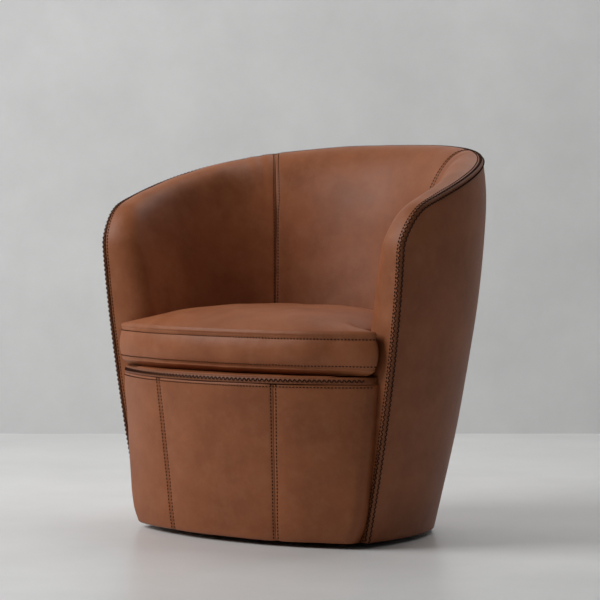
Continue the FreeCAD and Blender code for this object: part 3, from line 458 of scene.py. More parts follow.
class InsideSkin:
    """The left half's inside leather: from the welt over the rim or arm front, down to the seat line."""

    def __init__(self, shell):
        self.shell = shell
        self.welt = WeltLine(shell)
        s = shell.sizes
        self.tuck = 0.062
        welt = self.welt
        start = welt.run_at_height(s.seat_line)
        first = float(shell.angle_of(self.tucked(s.seat_line)))
        joined = math.radians(112)
        end = welt.run_at_angle(joined)
        runs = welt.run
        rise = np.clip((runs - start) / (end - start), 0, 1)
        foot_angle = first + (joined - first) * rise
        self.foot_angle = np.where(runs > end, welt.angle, foot_angle)
        low = runs < start
        tucked = self.tucked(np.minimum(welt.z, s.seat_line))
        self.foot_angle = np.where(low, shell.angle_of(tucked), self.foot_angle)
        self.foot_z = np.where(low, welt.z, s.seat_line)

    def tucked(self, z):
        y = self.shell.front_y(z) + self.tuck
        x = self.shell.side_x(y, z, 1.0)
        return np.stack([x, y + 0 * x, z + 0 * x], axis=-1)

    def at(self, s, t):
        """A point of the skin: s along the welt, t from 0 there to 1 past the roll to 2 at the foot."""
        s, t = np.broadcast_arrays(np.asarray(s, float), np.asarray(t, float))
        welt, sizes = self.welt, self.shell.sizes
        front = welt.pick(welt.front, s)
        back_turn = welt.pick(welt.inward, s)
        down_turn = welt.pick(welt.downward, s)
        angle, z = welt.pick(welt.angle, s), welt.pick(welt.z, s)
        slope = self.shell.slope(angle)
        crown = sizes.arm_crown + (sizes.back_crown - sizes.arm_crown) * slope
        shoulder = sizes.arm_shoulder + (sizes.back_shoulder - sizes.arm_shoulder) * slope
        crown = front * sizes.front_crown + (1 - front) * crown
        roll = front * sizes.front_roll + (1 - front) * shoulder
        u = np.minimum(t, 1)
        depth = bezier(u, (0, 0.16 + 0.06 * front, 1 - 0.12 * slope, 1))
        fall = 0.05 * slope * roll - 1.20 * (1 - slope) * crown
        offset = bezier(u, (0, -(0.82 + 0.2 * slope) * crown, fall, roll))
        height = z - down_turn * offset
        plain = self.shell.at(angle, height, depth)
        y = plain[..., 1] + back_turn * offset
        x = np.where(back_turn > 1e-6, self.shell.side_x(y, height, depth), plain[..., 0])
        rolled = np.stack([x, y, height], axis=-1)
        v = np.clip(t - 1, 0, 1)
        start = self.shell.angle_of(rolled)
        foot_angle, foot_z = welt.pick(self.foot_angle, s), welt.pick(self.foot_z, s)
        down = self.shell.at(start + (foot_angle - start) * v, height + (foot_z - height) * v, 1.0)
        return np.where(t[..., None] > 1, down, rolled)

    def normal(self, s, t):
        step = 0.0006
        ds = self.at(np.asarray(s) + step, t) - self.at(np.asarray(s) - step, t)
        dt = self.at(s, np.asarray(t) + step * 4) - self.at(s, np.asarray(t) - step * 4)
        return unit(np.cross(ds, dt))

    def share_at(self, s, distance):
        """The share t that lies a distance from the welt."""
        shares = np.linspace(0, 1.4, 120)
        line = self.at(s, shares)
        return float(np.interp(distance, run_lengths(line), shares))


class PanelForm:
    """The front panel's surface from a share of its half width and a height."""

    def __init__(self, sizes, floor_gap):
        self.sizes = sizes
        self.floor_gap = floor_gap

    def rise(self, z):
        return (z - self.floor_gap) / (self.sizes.top_height - self.floor_gap)

    def side_x(self, z):
        s = self.sizes
        return (s.foot_width + (s.top_width - s.foot_width) * self.rise(z)) / 2

    def half_width(self, z):
        s = self.sizes
        rounding = np.maximum(self.floor_gap + s.corner_height - z, 0) / s.corner_height
        return self.side_x(z) - s.corner_inset * rounding ** s.corner_power

    def front_y(self, x, z):
        s = self.sizes
        rise = self.rise(z)
        end = s.foot_end_y + (s.top_end_y - s.foot_end_y) * rise
        bow = s.foot_bow + (s.top_bow - s.foot_bow) * rise
        across = np.minimum(np.abs(x) / self.half_width(z), 1)
        return end - bow * (1 - across ** s.bow_power)

    def at(self, x, z, back=0.0):
        """A point of the face; back is how far it lies behind, past the panel's edges."""
        s = self.sizes
        half = self.half_width(z)
        near = np.clip((np.abs(x) - (half - s.side_roll)) / s.side_roll, 0, 1)
        y = self.front_y(x, z) + s.side_roll * (1 - np.sqrt(1 - near ** 2)) + back
        return np.stack(np.broadcast_arrays(x, y, z), axis=-1)


class CushionForm:
    """Outlines of the seat cushion at any height."""

    points = 300

    def __init__(self, sizes, shell):
        self.sizes = sizes
        self.shell = shell

    def outline(self, z, side_inset=0.0, front_inset=0.0):
        s = self.sizes
        level = min(z, s.seam_high)
        angles = np.linspace(s.first_angle, 2 * math.pi - s.first_angle, 160)
        wall = self.shell.at(angles, level, 1.0)
        inward = unit(np.stack([wall[:, 0], wall[:, 1] - self.shell.sizes.pole_y], axis=1))
        wall[:, :2] -= inward * (s.clearance + side_inset)
        half = s.top_width / 2 - front_inset
        x = np.linspace(-half, half, 120)
        y = s.front_end_y - (s.front_bow - front_inset) * (1 - (np.abs(x) / half) ** s.bow_power)
        front = np.stack([x, y, 0 * x], axis=1)
        ring = resampled(np.concatenate([wall, front]), self.points * 2, True)
        spacing = run_lengths(ring)[-1] / len(ring)
        ring = resampled(softened(ring, spacing, s.corner_radius, True), self.points, True)
        ring[:, 2] = z
        return ring


def new_mesh(name, vertices, faces):
    mesh = bpy.data.meshes.new(name)
    mesh.from_pydata(np.asarray(vertices).reshape(-1, 3).tolist(), [], faces)
    mesh.polygons.foreach_set("use_smooth", [True] * len(mesh.polygons))
    mesh.update()
    piece = bpy.data.objects.new(name, mesh)
    bpy.context.scene.collection.objects.link(piece)
    return piece


def grid_faces(rows, columns, start=0, around=False, flip=False):
    faces = []
    for i in range(rows - 1):
        for j in range(columns if around else columns - 1):
            k = (j + 1) % columns
            quad = [start + i * columns + j, start + i * columns + k,
                    start + (i + 1) * columns + k, start + (i + 1) * columns + j]
            faces.append(quad[::-1] if flip else quad)
    return faces


def thicken(piece, thickness, offset):
    """Gives a sheet its thickness, behind its face at an offset of -1 or on both sides of it at 0."""
    wall = piece.modifiers.new("Thickness", "SOLIDIFY")
    wall.thickness = thickness
    wall.offset = offset


def skin_piece(name, grid, flip, thickness):
    """A sheet of leather from a grid of points on its face, with its thickness behind it."""
    rows, columns = grid.shape[:2]
    piece = new_mesh(name, grid, grid_faces(rows, columns, flip=flip))
    thicken(piece, thickness, -1)
    return piece


def closed_rings(name, rings, bottom, top):
    """A closed piece from rings of points, with a point in the middle of each end."""
    count = rings.shape[1]
    verts = rings.reshape(-1, 3).tolist() + [list(top), list(bottom)]
    faces = grid_faces(len(rings), count, around=True)
    last = (len(rings) - 1) * count
    faces += [[last + j, last + (j + 1) % count, len(verts) - 2] for j in range(count)]
    faces += [[(j + 1) % count, j, len(verts) - 1] for j in range(count)]
    return new_mesh(name, verts, faces)


def ring_normals(rings):
    wide = np.concatenate([rings[:, -1:], rings, rings[:, :1]], axis=1)
    return -grid_normals(wide)[:, 1:-1]


def finish_piece(piece, body, material, replaced=()):
    piece.data.materials.clear()
    piece.data.materials.append(material)
    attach(piece, body)
    if replaced:
        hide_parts(*replaced)
    return piece


class Wiring:
    """Adds nodes to a tree in columns, each with its values and links."""

    def __init__(self, tree):
        self.tree = tree
        self.shader = tree.nodes.get("Principled BSDF")

    def feed(self, node, given):
        """Gives a node's inputs their values, or links them to the outputs given for them."""
        for key, value in given.items():
            if isinstance(value, bpy.types.NodeSocket):
                self.tree.links.new(value, node.inputs[key])
            else:
                node.inputs[key].default_value = value

    def node(self, kind, column, row, given=None, **values):
        made = self.tree.nodes.new(kind)
        made.location = (column * 200, -row * 180)
        for key, value in values.items():
            setattr(made, key, value)
        self.feed(made, given or {})
        return made

    def first(self, *place, **values):
        """The first output of a new node."""
        return self.node(*place, **values).outputs[0]

    def math(self, operation, column, row, *terms):
        return self.first("ShaderNodeMath", column, row, dict(enumerate(terms)), operation=operation)

    def place(self, column):
        return self.node("ShaderNodeTexCoord", column, 0).outputs["Object"]

    def noise(self, column, row, place, scale, detail, roughness=0.5, distortion=0.0):
        given = {"Vector": place, "Scale": scale, "Detail": detail, "Roughness": roughness,
                 "Distortion": distortion}
        return self.node("ShaderNodeTexNoise", column, row, given).outputs["Fac"]

    def mix(self, column, row, share, low, high):
        given = {"Factor": share, "A": low, "B": high}
        return self.node("ShaderNodeMix", column, row, given, data_type="RGBA").outputs["Result"]

    def ramp(self, column, row, share, low, high, places=(0, 1)):
        made = self.node("ShaderNodeValToRGB", column, row, {"Fac": share})
        for stop, place, tone in zip(made.color_ramp.elements, places, (low, high)):
            stop.position, stop.color = place, tone
        return made.outputs["Color"]

    def bump(self, column, row, height, strength, distance):
        given = {"Height": height, "Strength": strength, "Distance": distance}
        return self.node("ShaderNodeBump", column, row, given).outputs["Normal"]


def node_group(name, kind, inputs, outputs):
    """A new node group with its sockets, its wiring and the outputs of its input node."""
    group = bpy.data.node_groups.new(name, kind)
    for title, socket, *default in inputs:
        made = group.interface.new_socket(name=title, in_out="INPUT", socket_type="NodeSocket" + socket)
        if default:
            made.default_value = default[0]
    for title, socket in outputs:
        group.interface.new_socket(name=title, in_out="OUTPUT", socket_type="NodeSocket" + socket)
    w = Wiring(group)
    return group, w, w.node("NodeGroupInput", 0, 2).outputs


def leather_group():
    """Clouds, pores and fine wrinkles of a smooth leather, built once."""
    made = bpy.data.node_groups.get("Club leather")
    if made:
        return made
    group, w, given = node_group("Club leather", "ShaderNodeTree", [
        ("Main colour", "Color", (0.26, 0.10, 0.05, 1)),
        ("Dark colour", "Color", (0.20, 0.07, 0.04, 1)),
        ("Rubbed colour", "Color", (0.33, 0.15, 0.08, 1)),
        ("Roughness", "Float", 0.45),
        ("Grain size", "Float", 0.0011),
    ], [("Colour", "Color"), ("Roughness", "Float"), ("Normal", "Vector")])
    place = w.place(0)
    clouds = w.noise(1, 0, place, 11, 6, 0.62)
    patches = w.noise(1, 1, place, 34, 5, 0.7)
    wrinkles = w.noise(2, 4, place, 210, 6, distortion=1.2)
    size = w.math("DIVIDE", 1, 3, 1, given["Grain size"])
    pores = w.node("ShaderNodeTexVoronoi", 2, 3, {"Vector": place, "Scale": size}, feature="F1")
    dark = {"Value": clouds, "From Min": 0.36, "From Max": 0.66}
    rubbed = {"Value": patches, "From Min": 0.45, "From Max": 0.85, "To Max": 0.5}
    dark, rubbed = [w.node("ShaderNodeMapRange", 2, row, ends).outputs["Result"]
                    for row, ends in enumerate((dark, rubbed))]
    tone = w.mix(3, 0, dark, given["Main colour"], given["Dark colour"])
    relief = w.math("MULTIPLY_ADD", 3, 3, pores.outputs["Distance"], 0.35, wrinkles)
    w.node("NodeGroupOutput", 9, 2, {
        "Colour": w.mix(4, 0, rubbed, tone, given["Rubbed colour"]),
        "Roughness": w.math("MULTIPLY_ADD", 4, 2, patches, 0.16, given["Roughness"]),
        "Normal": w.bump(5, 3, relief, 0.24, 0.0012),
    })
    return group


def principled(name):
    """The named material, with its wiring where it is new."""
    made = bpy.data.materials.get(name)
    if made:
        return made, None
    made = bpy.data.materials.new(name)
    made.use_nodes = True
    return made, Wiring(made.node_tree)


def tint(base, share):
    return (*(min(c * share, 1) for c in base), 1)


def leather(finish, name="Cognac leather", shade=1.0):
    made, w = principled(name)
    if w:
        look = w.node("ShaderNodeGroup", -2, 0, {
            "Main colour": tint(finish.leather, shade),
            "Dark colour": tint(finish.leather_dark, shade),
            "Rubbed colour": tint(finish.leather_worn, shade),
            "Roughness": finish.roughness - 0.08,
            "Grain size": finish.grain_size,
        }, node_tree=leather_group()).outputs
        w.feed(w.shader, {"Base Color": look["Colour"], "Roughness": look["Roughness"],
                          "Normal": look["Normal"], "Specular IOR Level": 0.28})
    return made


def fibre(name, base, scale, roughness, depth):
    """Thread and coil: a colour broken up by its fibres."""
    made, w = principled(name)
    if w:
        fibres = w.noise(-4, 0, w.place(-5), scale, 4)
        w.feed(w.shader, {
            "Base Color": w.ramp(-3, 0, fibres, tint(base, 0.6), tint(base, 1.25), (0.3, 0.7)),
            "Normal": w.bump(-2, 1, fibres, 0.5, depth),
            "Roughness": roughness, "Specular IOR Level": 0.08})
    return made


def woven(name, base, pitch, roughness):
    """A plain weave of two crossing sets of yarns."""
    made, w = principled(name)
    if w:
        given = {"Vector": w.place(-6), "Scale": 0.314 / pitch, "Distortion": 0.4}
        yarns = [w.node("ShaderNodeTexWave", -4, row, given, bands_direction=direction).outputs["Fac"]
                 for row, direction in enumerate("XY")]
        weave = w.math("MULTIPLY", -3, 0, *yarns)
        w.feed(w.shader, {"Base Color": w.ramp(-2, 0, weave, tint(base, 0.5), tint(base, 1.4)),
                          "Normal": w.bump(-2, 2, weave, 0.4, pitch / 3), "Roughness": roughness})
    return made


def cloths(finish):
    """The woven finishes by the names of their slots."""
    return {
        "lining_cloth": woven("Lining cloth", finish.cloth, 0.0009, 0.85),
        "webbing": woven("Elastic webbing", finish.webbing, 0.0022, 0.8),
        "zip_tape": woven("Zip tape", (0.06, 0.03, 0.018), 0.0012, 0.7),
    }


def timber(name, base):
    made, w = principled(name)
    if w:
        turned = w.first("ShaderNodeMapping", -5, 0, {"Vector": w.place(-6), "Scale": (1, 1, 0.12)})
        rings = w.noise(-4, 0, turned, 90, 7, distortion=0.6)
        tone = w.ramp(-3, 0, rings, tint(base, 0.7), tint(base, 1), (0.35, 0.68))
        w.feed(w.shader, {"Base Color": tone, "Roughness": 0.62})
    return made


def plated(name, base, metallic, roughness, scale):
    """Metal, lacquer and moulded plastic: an even colour with fine streaks in its gloss."""
    made, w = principled(name)
    if w:
        streaks = w.noise(-4, 0, w.place(-5), scale, 5)
        gloss = w.node("ShaderNodeMapRange", -3, 1, {
            "Value": streaks, "To Min": roughness * 0.8, "To Max": min(roughness * 1.3, 1)})
        w.feed(w.shader, {"Base Color": w.ramp(-3, 0, streaks, tint(base, 0.85), tint(base, 1.12)),
                          "Roughness": gloss.outputs["Result"], "Metallic": metallic})
    return made


def stitch_tree():
    """Stitches set evenly along a line, each laid along it or slanted across it by turns."""
    made = bpy.data.node_groups.get("Club stitches")
    if made:
        return made
    tree, w, given = node_group("Club stitches", "GeometryNodeTree", [
        ("Geometry", "Geometry"), ("Pitch", "Float", 0.005), ("Stitch length", "Float", 0.0036),
        ("Thread radius", "Float", 0.0005), ("Slant", "Float", 0.0), ("Thread", "Material"),
    ], [("Geometry", "Geometry")])
    line = w.first("GeometryNodeMeshToCurve", 1, 0, {"Mesh": given["Geometry"]})
    even = w.first("GeometryNodeResampleCurve", 2, 0, {"Curve": line, "Length": given["Pitch"]},
                   mode="LENGTH")
    facing = w.node("GeometryNodeInputNamedAttribute", 2, 2, {"Name": "facing"},
                    data_type="FLOAT_VECTOR").outputs["Attribute"]
    upright = w.first("FunctionNodeAlignRotationToVector", 3, 2, {"Vector": facing}, axis="Z")
    tangent = w.first("GeometryNodeInputTangent", 2, 3)
    along = w.first("FunctionNodeAlignRotationToVector", 4, 2,
                    {"Rotation": upright, "Vector": tangent}, axis="X", pivot_axis="Z")
    parity = w.math("PINGPONG", 4, 4, w.first("GeometryNodeInputIndex", 3, 4), 1)
    side = w.math("MULTIPLY_ADD", 5, 4, parity, 2, -1)
    slant = w.math("MULTIPLY", 6, 4, side, given["Slant"])
    angles = w.first("ShaderNodeCombineXYZ", 7, 4, {"Z": slant})
    turned = w.first("FunctionNodeRotateRotation", 7, 2, {"Rotation": along, "Rotate By": angles},
                     rotation_space="LOCAL")
    stitch = w.first("GeometryNodeMeshUVSphere", 3, -2, {"Segments": 6, "Rings": 5, "Radius": 1})
    half, radius = w.math("MULTIPLY", 3, -1, given["Stitch length"], 0.5), given["Thread radius"]
    size = w.first("ShaderNodeCombineXYZ", 4, -1, {"X": half, "Y": radius, "Z": radius})
    shaped = w.first("GeometryNodeTransform", 5, -2, {"Geometry": stitch, "Scale": size})
    laid = w.first("GeometryNodeInstanceOnPoints", 8, 0,
                   {"Points": even, "Instance": shaped, "Rotation": turned})
    real = w.first("GeometryNodeRealizeInstances", 9, 0, {"Geometry": laid})
    smooth = w.first("GeometryNodeSetShadeSmooth", 10, 0, {"Geometry": real})
    finish = w.first("GeometryNodeSetMaterial", 11, 0, {"Geometry": smooth, "Material": given["Thread"]})
    w.node("NodeGroupOutput", 12, 0, {"Geometry": finish})
    return tree


def laid_on(points, names):
    """The points moved to the nearest place on the faces of finished pieces."""
    meshes = [bpy.data.objects[name].data for name in names]
    trees = [BVHTree.FromPolygons([v.co for v in mesh.vertices], [f.vertices for f in mesh.polygons])
             for mesh in meshes]
    hits = [min((tree.find_nearest(point) for tree in trees), key=lambda hit: hit[3])
            for point in points.tolist()]
    return np.array([hit[0] for hit in hits])


def stitch_rows(name, rows, body, material, pitch, stitch_length, thread, slant=0.0, onto=()):
    """One piece of stitching from lines of points and the directions that they face."""
    proud = 0.35  # share of the thread's radius
    vertices, edges, facing = [], [], []
    for points, normals in rows:
        start = len(vertices)
        if onto:
            points = laid_on(points, onto)
        vertices += (points + normals * thread * proud).tolist()
        facing += normals.tolist()
        edges += [(start + i, start + i + 1) for i in range(len(points) - 1)]
    mesh = bpy.data.meshes.new(name + "_line")
    mesh.from_pydata(vertices, edges, [])
    layer = mesh.attributes.new("facing", "FLOAT_VECTOR", "POINT")
    layer.data.foreach_set("vector", np.asarray(facing, dtype=np.float32).ravel())
    source = bpy.data.objects.new(name + "_line", mesh)
    bpy.context.scene.collection.objects.link(source)
    modifier = source.modifiers.new("Stitches", "NODES")
    modifier.node_group = stitch_tree()
    values = {"Pitch": pitch, "Stitch length": stitch_length, "Thread radius": thread, "Slant": slant,
              "Thread": material}
    for item in modifier.node_group.interface.items_tree:
        if item.in_out == "INPUT" and item.name in values:
            modifier[item.identifier] = values[item.name]
    bpy.context.view_layer.update()
    shown = source.evaluated_get(bpy.context.evaluated_depsgraph_get())
    made = bpy.data.meshes.new_from_object(shown)
    bpy.data.objects.remove(source)
    piece = bpy.data.objects.new(name, made)
    piece.data.name = name
    bpy.context.scene.collection.objects.link(piece)
    return finish_piece(piece, body, material)


def eased(points, t):
    """The rows of a skin on both sides of the end of its roll, with their change of curve spread out."""
    reach, first, passes = 0.42, 0.2, 60
    share = np.exp(-((t - 1.0) / reach) ** 2)[:, 1:-1, None] * (t[:, 1:-1, None] > first)
    for _ in range(passes):
        step = np.linalg.norm(np.diff(points, axis=1), axis=2)
        before, after = step[:, :-1, None], step[:, 1:, None]
        middle = (points[:, 2:] * before + points[:, :-2] * after) / (before + after)
        points = points.copy()
        points[:, 1:-1] += (middle - points[:, 1:-1]) * 0.5 * share
    return points


class ClubBuild:
    """What the operators share: the sizes in the scene and the forms that follow from them."""

    def __init__(self, context):
        scene = context.scene
        self.shell_sizes = scene.club_shell
        self.panel_sizes = scene.club_panel
        self.cushion_sizes = scene.club_cushion
        self.seam = seam = scene.club_seams
        self.finish = scene.club_finishes
        self.shell = ShellForm(self.shell_sizes)
        self.inside = InsideSkin(self.shell)
        self.welt = self.inside.welt
        self.panel = PanelForm(self.panel_sizes, self.shell_sizes.floor_gap)
        self.cushion = CushionForm(self.cushion_sizes, self.shell)
        self.leather = leather(self.finish)
        self.dark_leather = leather(self.finish, "Dark cognac leather", 0.75)
        self.thread = fibre("Brown thread", self.finish.thread, 900, 0.9, 0.0002)
        self.seam_run = self.welt.run_at_angle(self.shell_sizes.seam_angle)
        self.straight = (seam.stitch_pitch, seam.stitch_length, seam.thread)
        self.zigzag = (seam.zigzag_pitch, seam.zigzag_length, seam.zigzag_thread)


class CLUB_OT_shell_inside(bpy.types.Operator):
    """Inside leather of the arms and back, rolled over the rim and the arm fronts"""

    bl_idname = "club.shell_inside"
    bl_label = "Inside of the shell"

    def execute(self, context):
        b = ClubBuild(context)

        def grid(low, high):
            roll = np.concatenate([np.linspace(START_SHARE, 0.16, 7), np.linspace(0.16, 1, 22)[1:]])
            shares = np.concatenate([roll, 1 + np.linspace(0, 1, 44)[1:]])
            places = clustered(low, high, SKIN_SPACING, [b.seam_run])
            s, t = np.meshgrid(places, shares, indexing="ij")
            return eased(b.inside.at(s, t), t), s, t

        def shaped(points, s, t, name):
            depth = crease(s - b.seam_run, b.seam) * (1 - np.exp(-((t - START_SHARE) / 0.07) ** 2))
            tuck_depth, tuck_share, fold_lean = 0.0022, 0.05, 0.012
            edge = np.exp(-((t - START_SHARE) / tuck_share) ** 2) * tuck_depth
            rise = ripple(points, 0.16, 5) * 0.0009 + ripple(points, 0.05, 8) * 0.00022
            near_rim = np.exp(-((t - 0.35) / 0.4) ** 2)
            width, folds = PUCKERS[name]
            for before, height in folds:
                away = s - (b.seam_run - before + fold_lean * (t - 0.3))
                rise = rise + height * np.exp(-(away / width) ** 2) * near_rim
            return points + grid_normals(points) * (rise - depth - edge)[..., None]

        arm, back = grid(0, b.seam_run), grid(b.seam_run, b.welt.length)
        whole, s, t = [np.concatenate([part, part[-2::-1]]) for part in back]
        whole[len(back[0]):, :, 0] *= -1
        skins = {"left": shaped(*arm, "left"), "right": shaped(*arm, "right") * MIRROR,
                 "back": shaped(whole, s, t, "back")}
        for name, points in skins.items():
            piece = skin_piece("inside_skin_" + name, points, name != "right", b.shell_sizes.leather)
            replaced = ["inside_leather_" + name, "inside_foam_" + name]
            if name != "back":
                replaced.append("arm_front_leather_" + name)
            if name == "left":
                replaced.append("arm_front_foams")
            finish_piece(piece, "chair", b.leather, replaced)
        return {"FINISHED"}


class CLUB_OT_shell_outside(bpy.types.Operator):
    """Outside leather of the arms and back, from the welt down to the hem"""

    bl_idname = "club.shell_outside"
    bl_label = "Outside of the shell"

    def execute(self, context):
        b = ClubBuild(context)
        s, welt = b.shell_sizes, b.welt
        edge_run = welt.run[np.argmax(welt.front < 0.75)]
        arm_runs, back_runs = [clustered(*ends, 0.009, [b.seam_run])
                               for ends in ((edge_run, b.seam_run), (b.seam_run, welt.length))]
        runs = np.concatenate([arm_runs, back_runs[1:]])
        v = np.linspace(0, 1, 70)
        top, top_z = welt.pick(welt.angle, runs)[:, None], welt.pick(welt.z, runs)[:, None]
        front, front_z = welt.pick(welt.angle, v * edge_run), welt.pick(welt.z, v * edge_run)
        across = (top - top[0]) / (math.pi - top[0])
        seam_share = (s.seam_angle - top[0]) / (math.pi - top[0])
        blend = smoothstep(across / seam_share)
        hem = (front[0] + across * (math.pi - front[0])) * (1 - blend) + top * blend
        angle = (1 - v) * hem + v * top
        z = (1 - v) * s.floor_gap + v * top_z
        angle = angle + (1 - across) ** 2 * (front - angle[0])
        z = z + (1 - across) ** 2 * (front_z - z[0])
        points = b.shell.at(angle, z, 0.0)
        inset = 0.0002
        rise = ripple(points, 0.22, 11) * 0.0007 - crease((runs - b.seam_run)[:, None], b.seam) * 0.8 - inset
        points = points + grid_normals(points) * rise[..., None]
        arm, back = points[:len(arm_runs)], points[len(arm_runs) - 1:]
        skins = {"left": arm, "right": arm * MIRROR,
                 "back": np.concatenate([back, (back * MIRROR)[-2::-1]])}
        for name, points in skins.items():
            piece = skin_piece("outside_skin_" + name, points, name != "right", s.leather)
            replaced = ["outside_leather_" + name] + ["shell_wadding"] * (name == "back")
            finish_piece(piece, "chair", b.leather, replaced)
        return {"FINISHED"}


class CLUB_OT_welt(bpy.types.Operator):
    """The stitched welt along the arm fronts and the rim"""

    bl_idname = "club.welt"
    bl_label = "Stitched welt"

    def execute(self, context):
        b = ClubBuild(context)
        rings = welt_rings(b, np.linspace(0, b.welt.length, 420))
        grid = np.concatenate([rings, (rings * MIRROR)[-2::-1]])
        piece = new_mesh("rim_welt", grid, grid_faces(*grid.shape[:2], around=True, flip=True))
        finish_piece(piece, "chair", b.dark_leather)
        return {"FINISHED"}


def welt_frames(b, s):
    """At places along the welt: the edge, the way across the front or rim, and the way down the outside."""
    edge = b.inside.at(s, 0.0)
    along = unit(b.inside.at(s + STEP, 0.0) - b.inside.at(s - STEP, 0.0))
    across = b.inside.at(s, 0.10) - edge
    across = unit(across - (across * along).sum(-1, keepdims=True) * along)
    angle, z = b.welt.pick(b.welt.angle, s), b.welt.pick(b.welt.z, s)
    here, lower, further, inner = [b.shell.at(angle + turned, z - down, 0.0)
                                   for turned, down in ((0, 0), (0, STEP), (STEP, 0), (0.02, 0.02))]
    outside = np.cross(along, unit(np.cross(further - here, here - lower)))
    outside = unit(outside * np.sign((outside * (inner - here)).sum(-1, keepdims=True)))
    return edge, across, outside


def welt_rings(b, s):
    edge, across, outside = welt_frames(b, s)
    wide = b.seam.welt_width
    half = ((wide, -0.0016), (wide, 0.0006), (wide * 0.72, 0.0017), (wide * 0.36, 0.0020))
    proud = (1 - 0.85 * b.shell.slope(b.welt.pick(b.welt.angle, s)))[:, None]
    middle = unit(-(across + outside))

    def row(run_across, run_outside, out, lift):
        return edge + across * run_across + outside * run_outside + out * lift * proud

    rings = [row(run, 0, unit(-outside), lift) for run, lift in half]
    rings.append(row(0.0012, 0.0012, middle, 0.0024))
    rings += [row(0, run, unit(-across), lift) for run, lift in half[::-1]]
    rings.append(row(0.0022, 0.0022, middle, -0.0022))
    return np.stack(rings, axis=1)


def panel_grid(b, first, last, edge):
    """The panel's face between two shares of its half width; edge is the side where it rolls back, or 0."""
    s, form = b.panel_sizes, b.panel
    foot, top, roll = b.shell_sizes.floor_gap, s.top_height, s.side_roll
    bend = np.linspace(0, math.pi / 2, 6)[1:]
    up, sink = s.edge_roll * (1 - np.sin(bend)), s.edge_roll * (1 - np.cos(bend))
    inner = np.linspace(foot + s.edge_roll, top - s.edge_roll, 64)
    heights = np.concatenate([[foot], foot + up[::-1], inner, top - up, [top]])
    backs = np.concatenate([[0.03], sink[::-1], inner * 0, sink, [0.02]])
    half = s.top_width / 2
    seams = [share * half for share in (-s.seam_share, s.seam_share) if first <= share <= last]
    shares = clustered(first * half, last * half, SKIN_SPACING, seams) / half
    full, side = form.half_width(heights), form.side_x(heights)
    if edge:
        shares = shares[np.abs(shares) < 1 - roll / full.min()]
    x = np.clip(shares[:, None] * side, roll - full, full - roll)
    back = np.zeros_like(x)
    if edge:
        turned = np.sin(np.linspace(0, math.pi / 2, 12)[1:])
        rolled = edge * (full - roll + roll * np.append(turned, (1, 1, 1))[:, None])
        run = np.append(turned * 0, (0.004, 0.010, s.side_depth))[:, None] + 0 * full
        x, back = [np.concatenate([part, outer[::edge]][::edge])
                   for part, outer in ((x, rolled), (back, run))]
    z = np.broadcast_to(heights, x.shape)
    points = form.at(x, z, back + backs)
    distance = np.minimum(np.abs(x - s.seam_share * side), np.abs(x + s.seam_share * side))
    hem = np.minimum(z - foot, top - z) / 0.03
    rise = smoothstep(distance / 0.05) * s.swell * smoothstep(hem)
    rise = rise + ripple(points, 0.13, 21) * 0.0008 - crease(distance, b.seam) * 0.8
    return points + grid_normals(points) * rise[..., None]


class CLUB_OT_front_panel(bpy.types.Operator):
    """The padded front panel in three pieces, and the stitched band along its top"""

    bl_idname = "club.front_panel"
    bl_label = "Front panel"

    def execute(self, context):
        b = ClubBuild(context)
        seam = b.panel_sizes.seam_share
        for name, *place in (("centre", -seam, seam, 0), ("left", seam, 1, 1), ("right", -1, -seam, -1)):
            piece = skin_piece("front_panel_" + name, panel_grid(b, *place), True, b.shell_sizes.leather)
            replaced = ["front_leather_" + name] + ["front_foam"] * (name == "centre")
            finish_piece(piece, "chair", b.leather, replaced)
        piece = skin_piece("front_panel_band", band_grid(b), True, b.shell_sizes.leather)
        finish_piece(piece, "chair", b.dark_leather, ["front_band"])
        return {"FINISHED"}


def band_grid(b):
    """The band above the front panel: a strip with a soft swell that leans back."""
    s, form = b.panel_sizes, b.panel
    gap, hollow = 0.0003, 0.0014
    low = s.top_height + gap
    places = np.linspace(-1, 1, 170)
    rise = np.linspace(0, 1, 9)
    half = form.half_width(s.top_height) - b.shell_sizes.leather
    x = places[:, None] * half + 0 * rise
    y = form.front_y(x, s.top_height) + s.band_roll * rise ** 1.7 - hollow * np.sin(math.pi * rise)
    near = np.clip((np.abs(x) - (half - s.side_roll)) / s.side_roll, 0, 1)
    y = y + s.side_roll * (1 - np.sqrt(1 - np.minimum(near, 0.999) ** 2))
    z = low + s.band_height * rise + 0 * x
    tucked = np.stack([x[:, -1:], y[:, -1:] + 0.004, z[:, -1:] + 0.0008], axis=-1)
    return np.concatenate([np.stack([x, y, z], axis=-1), tucked], axis=1)


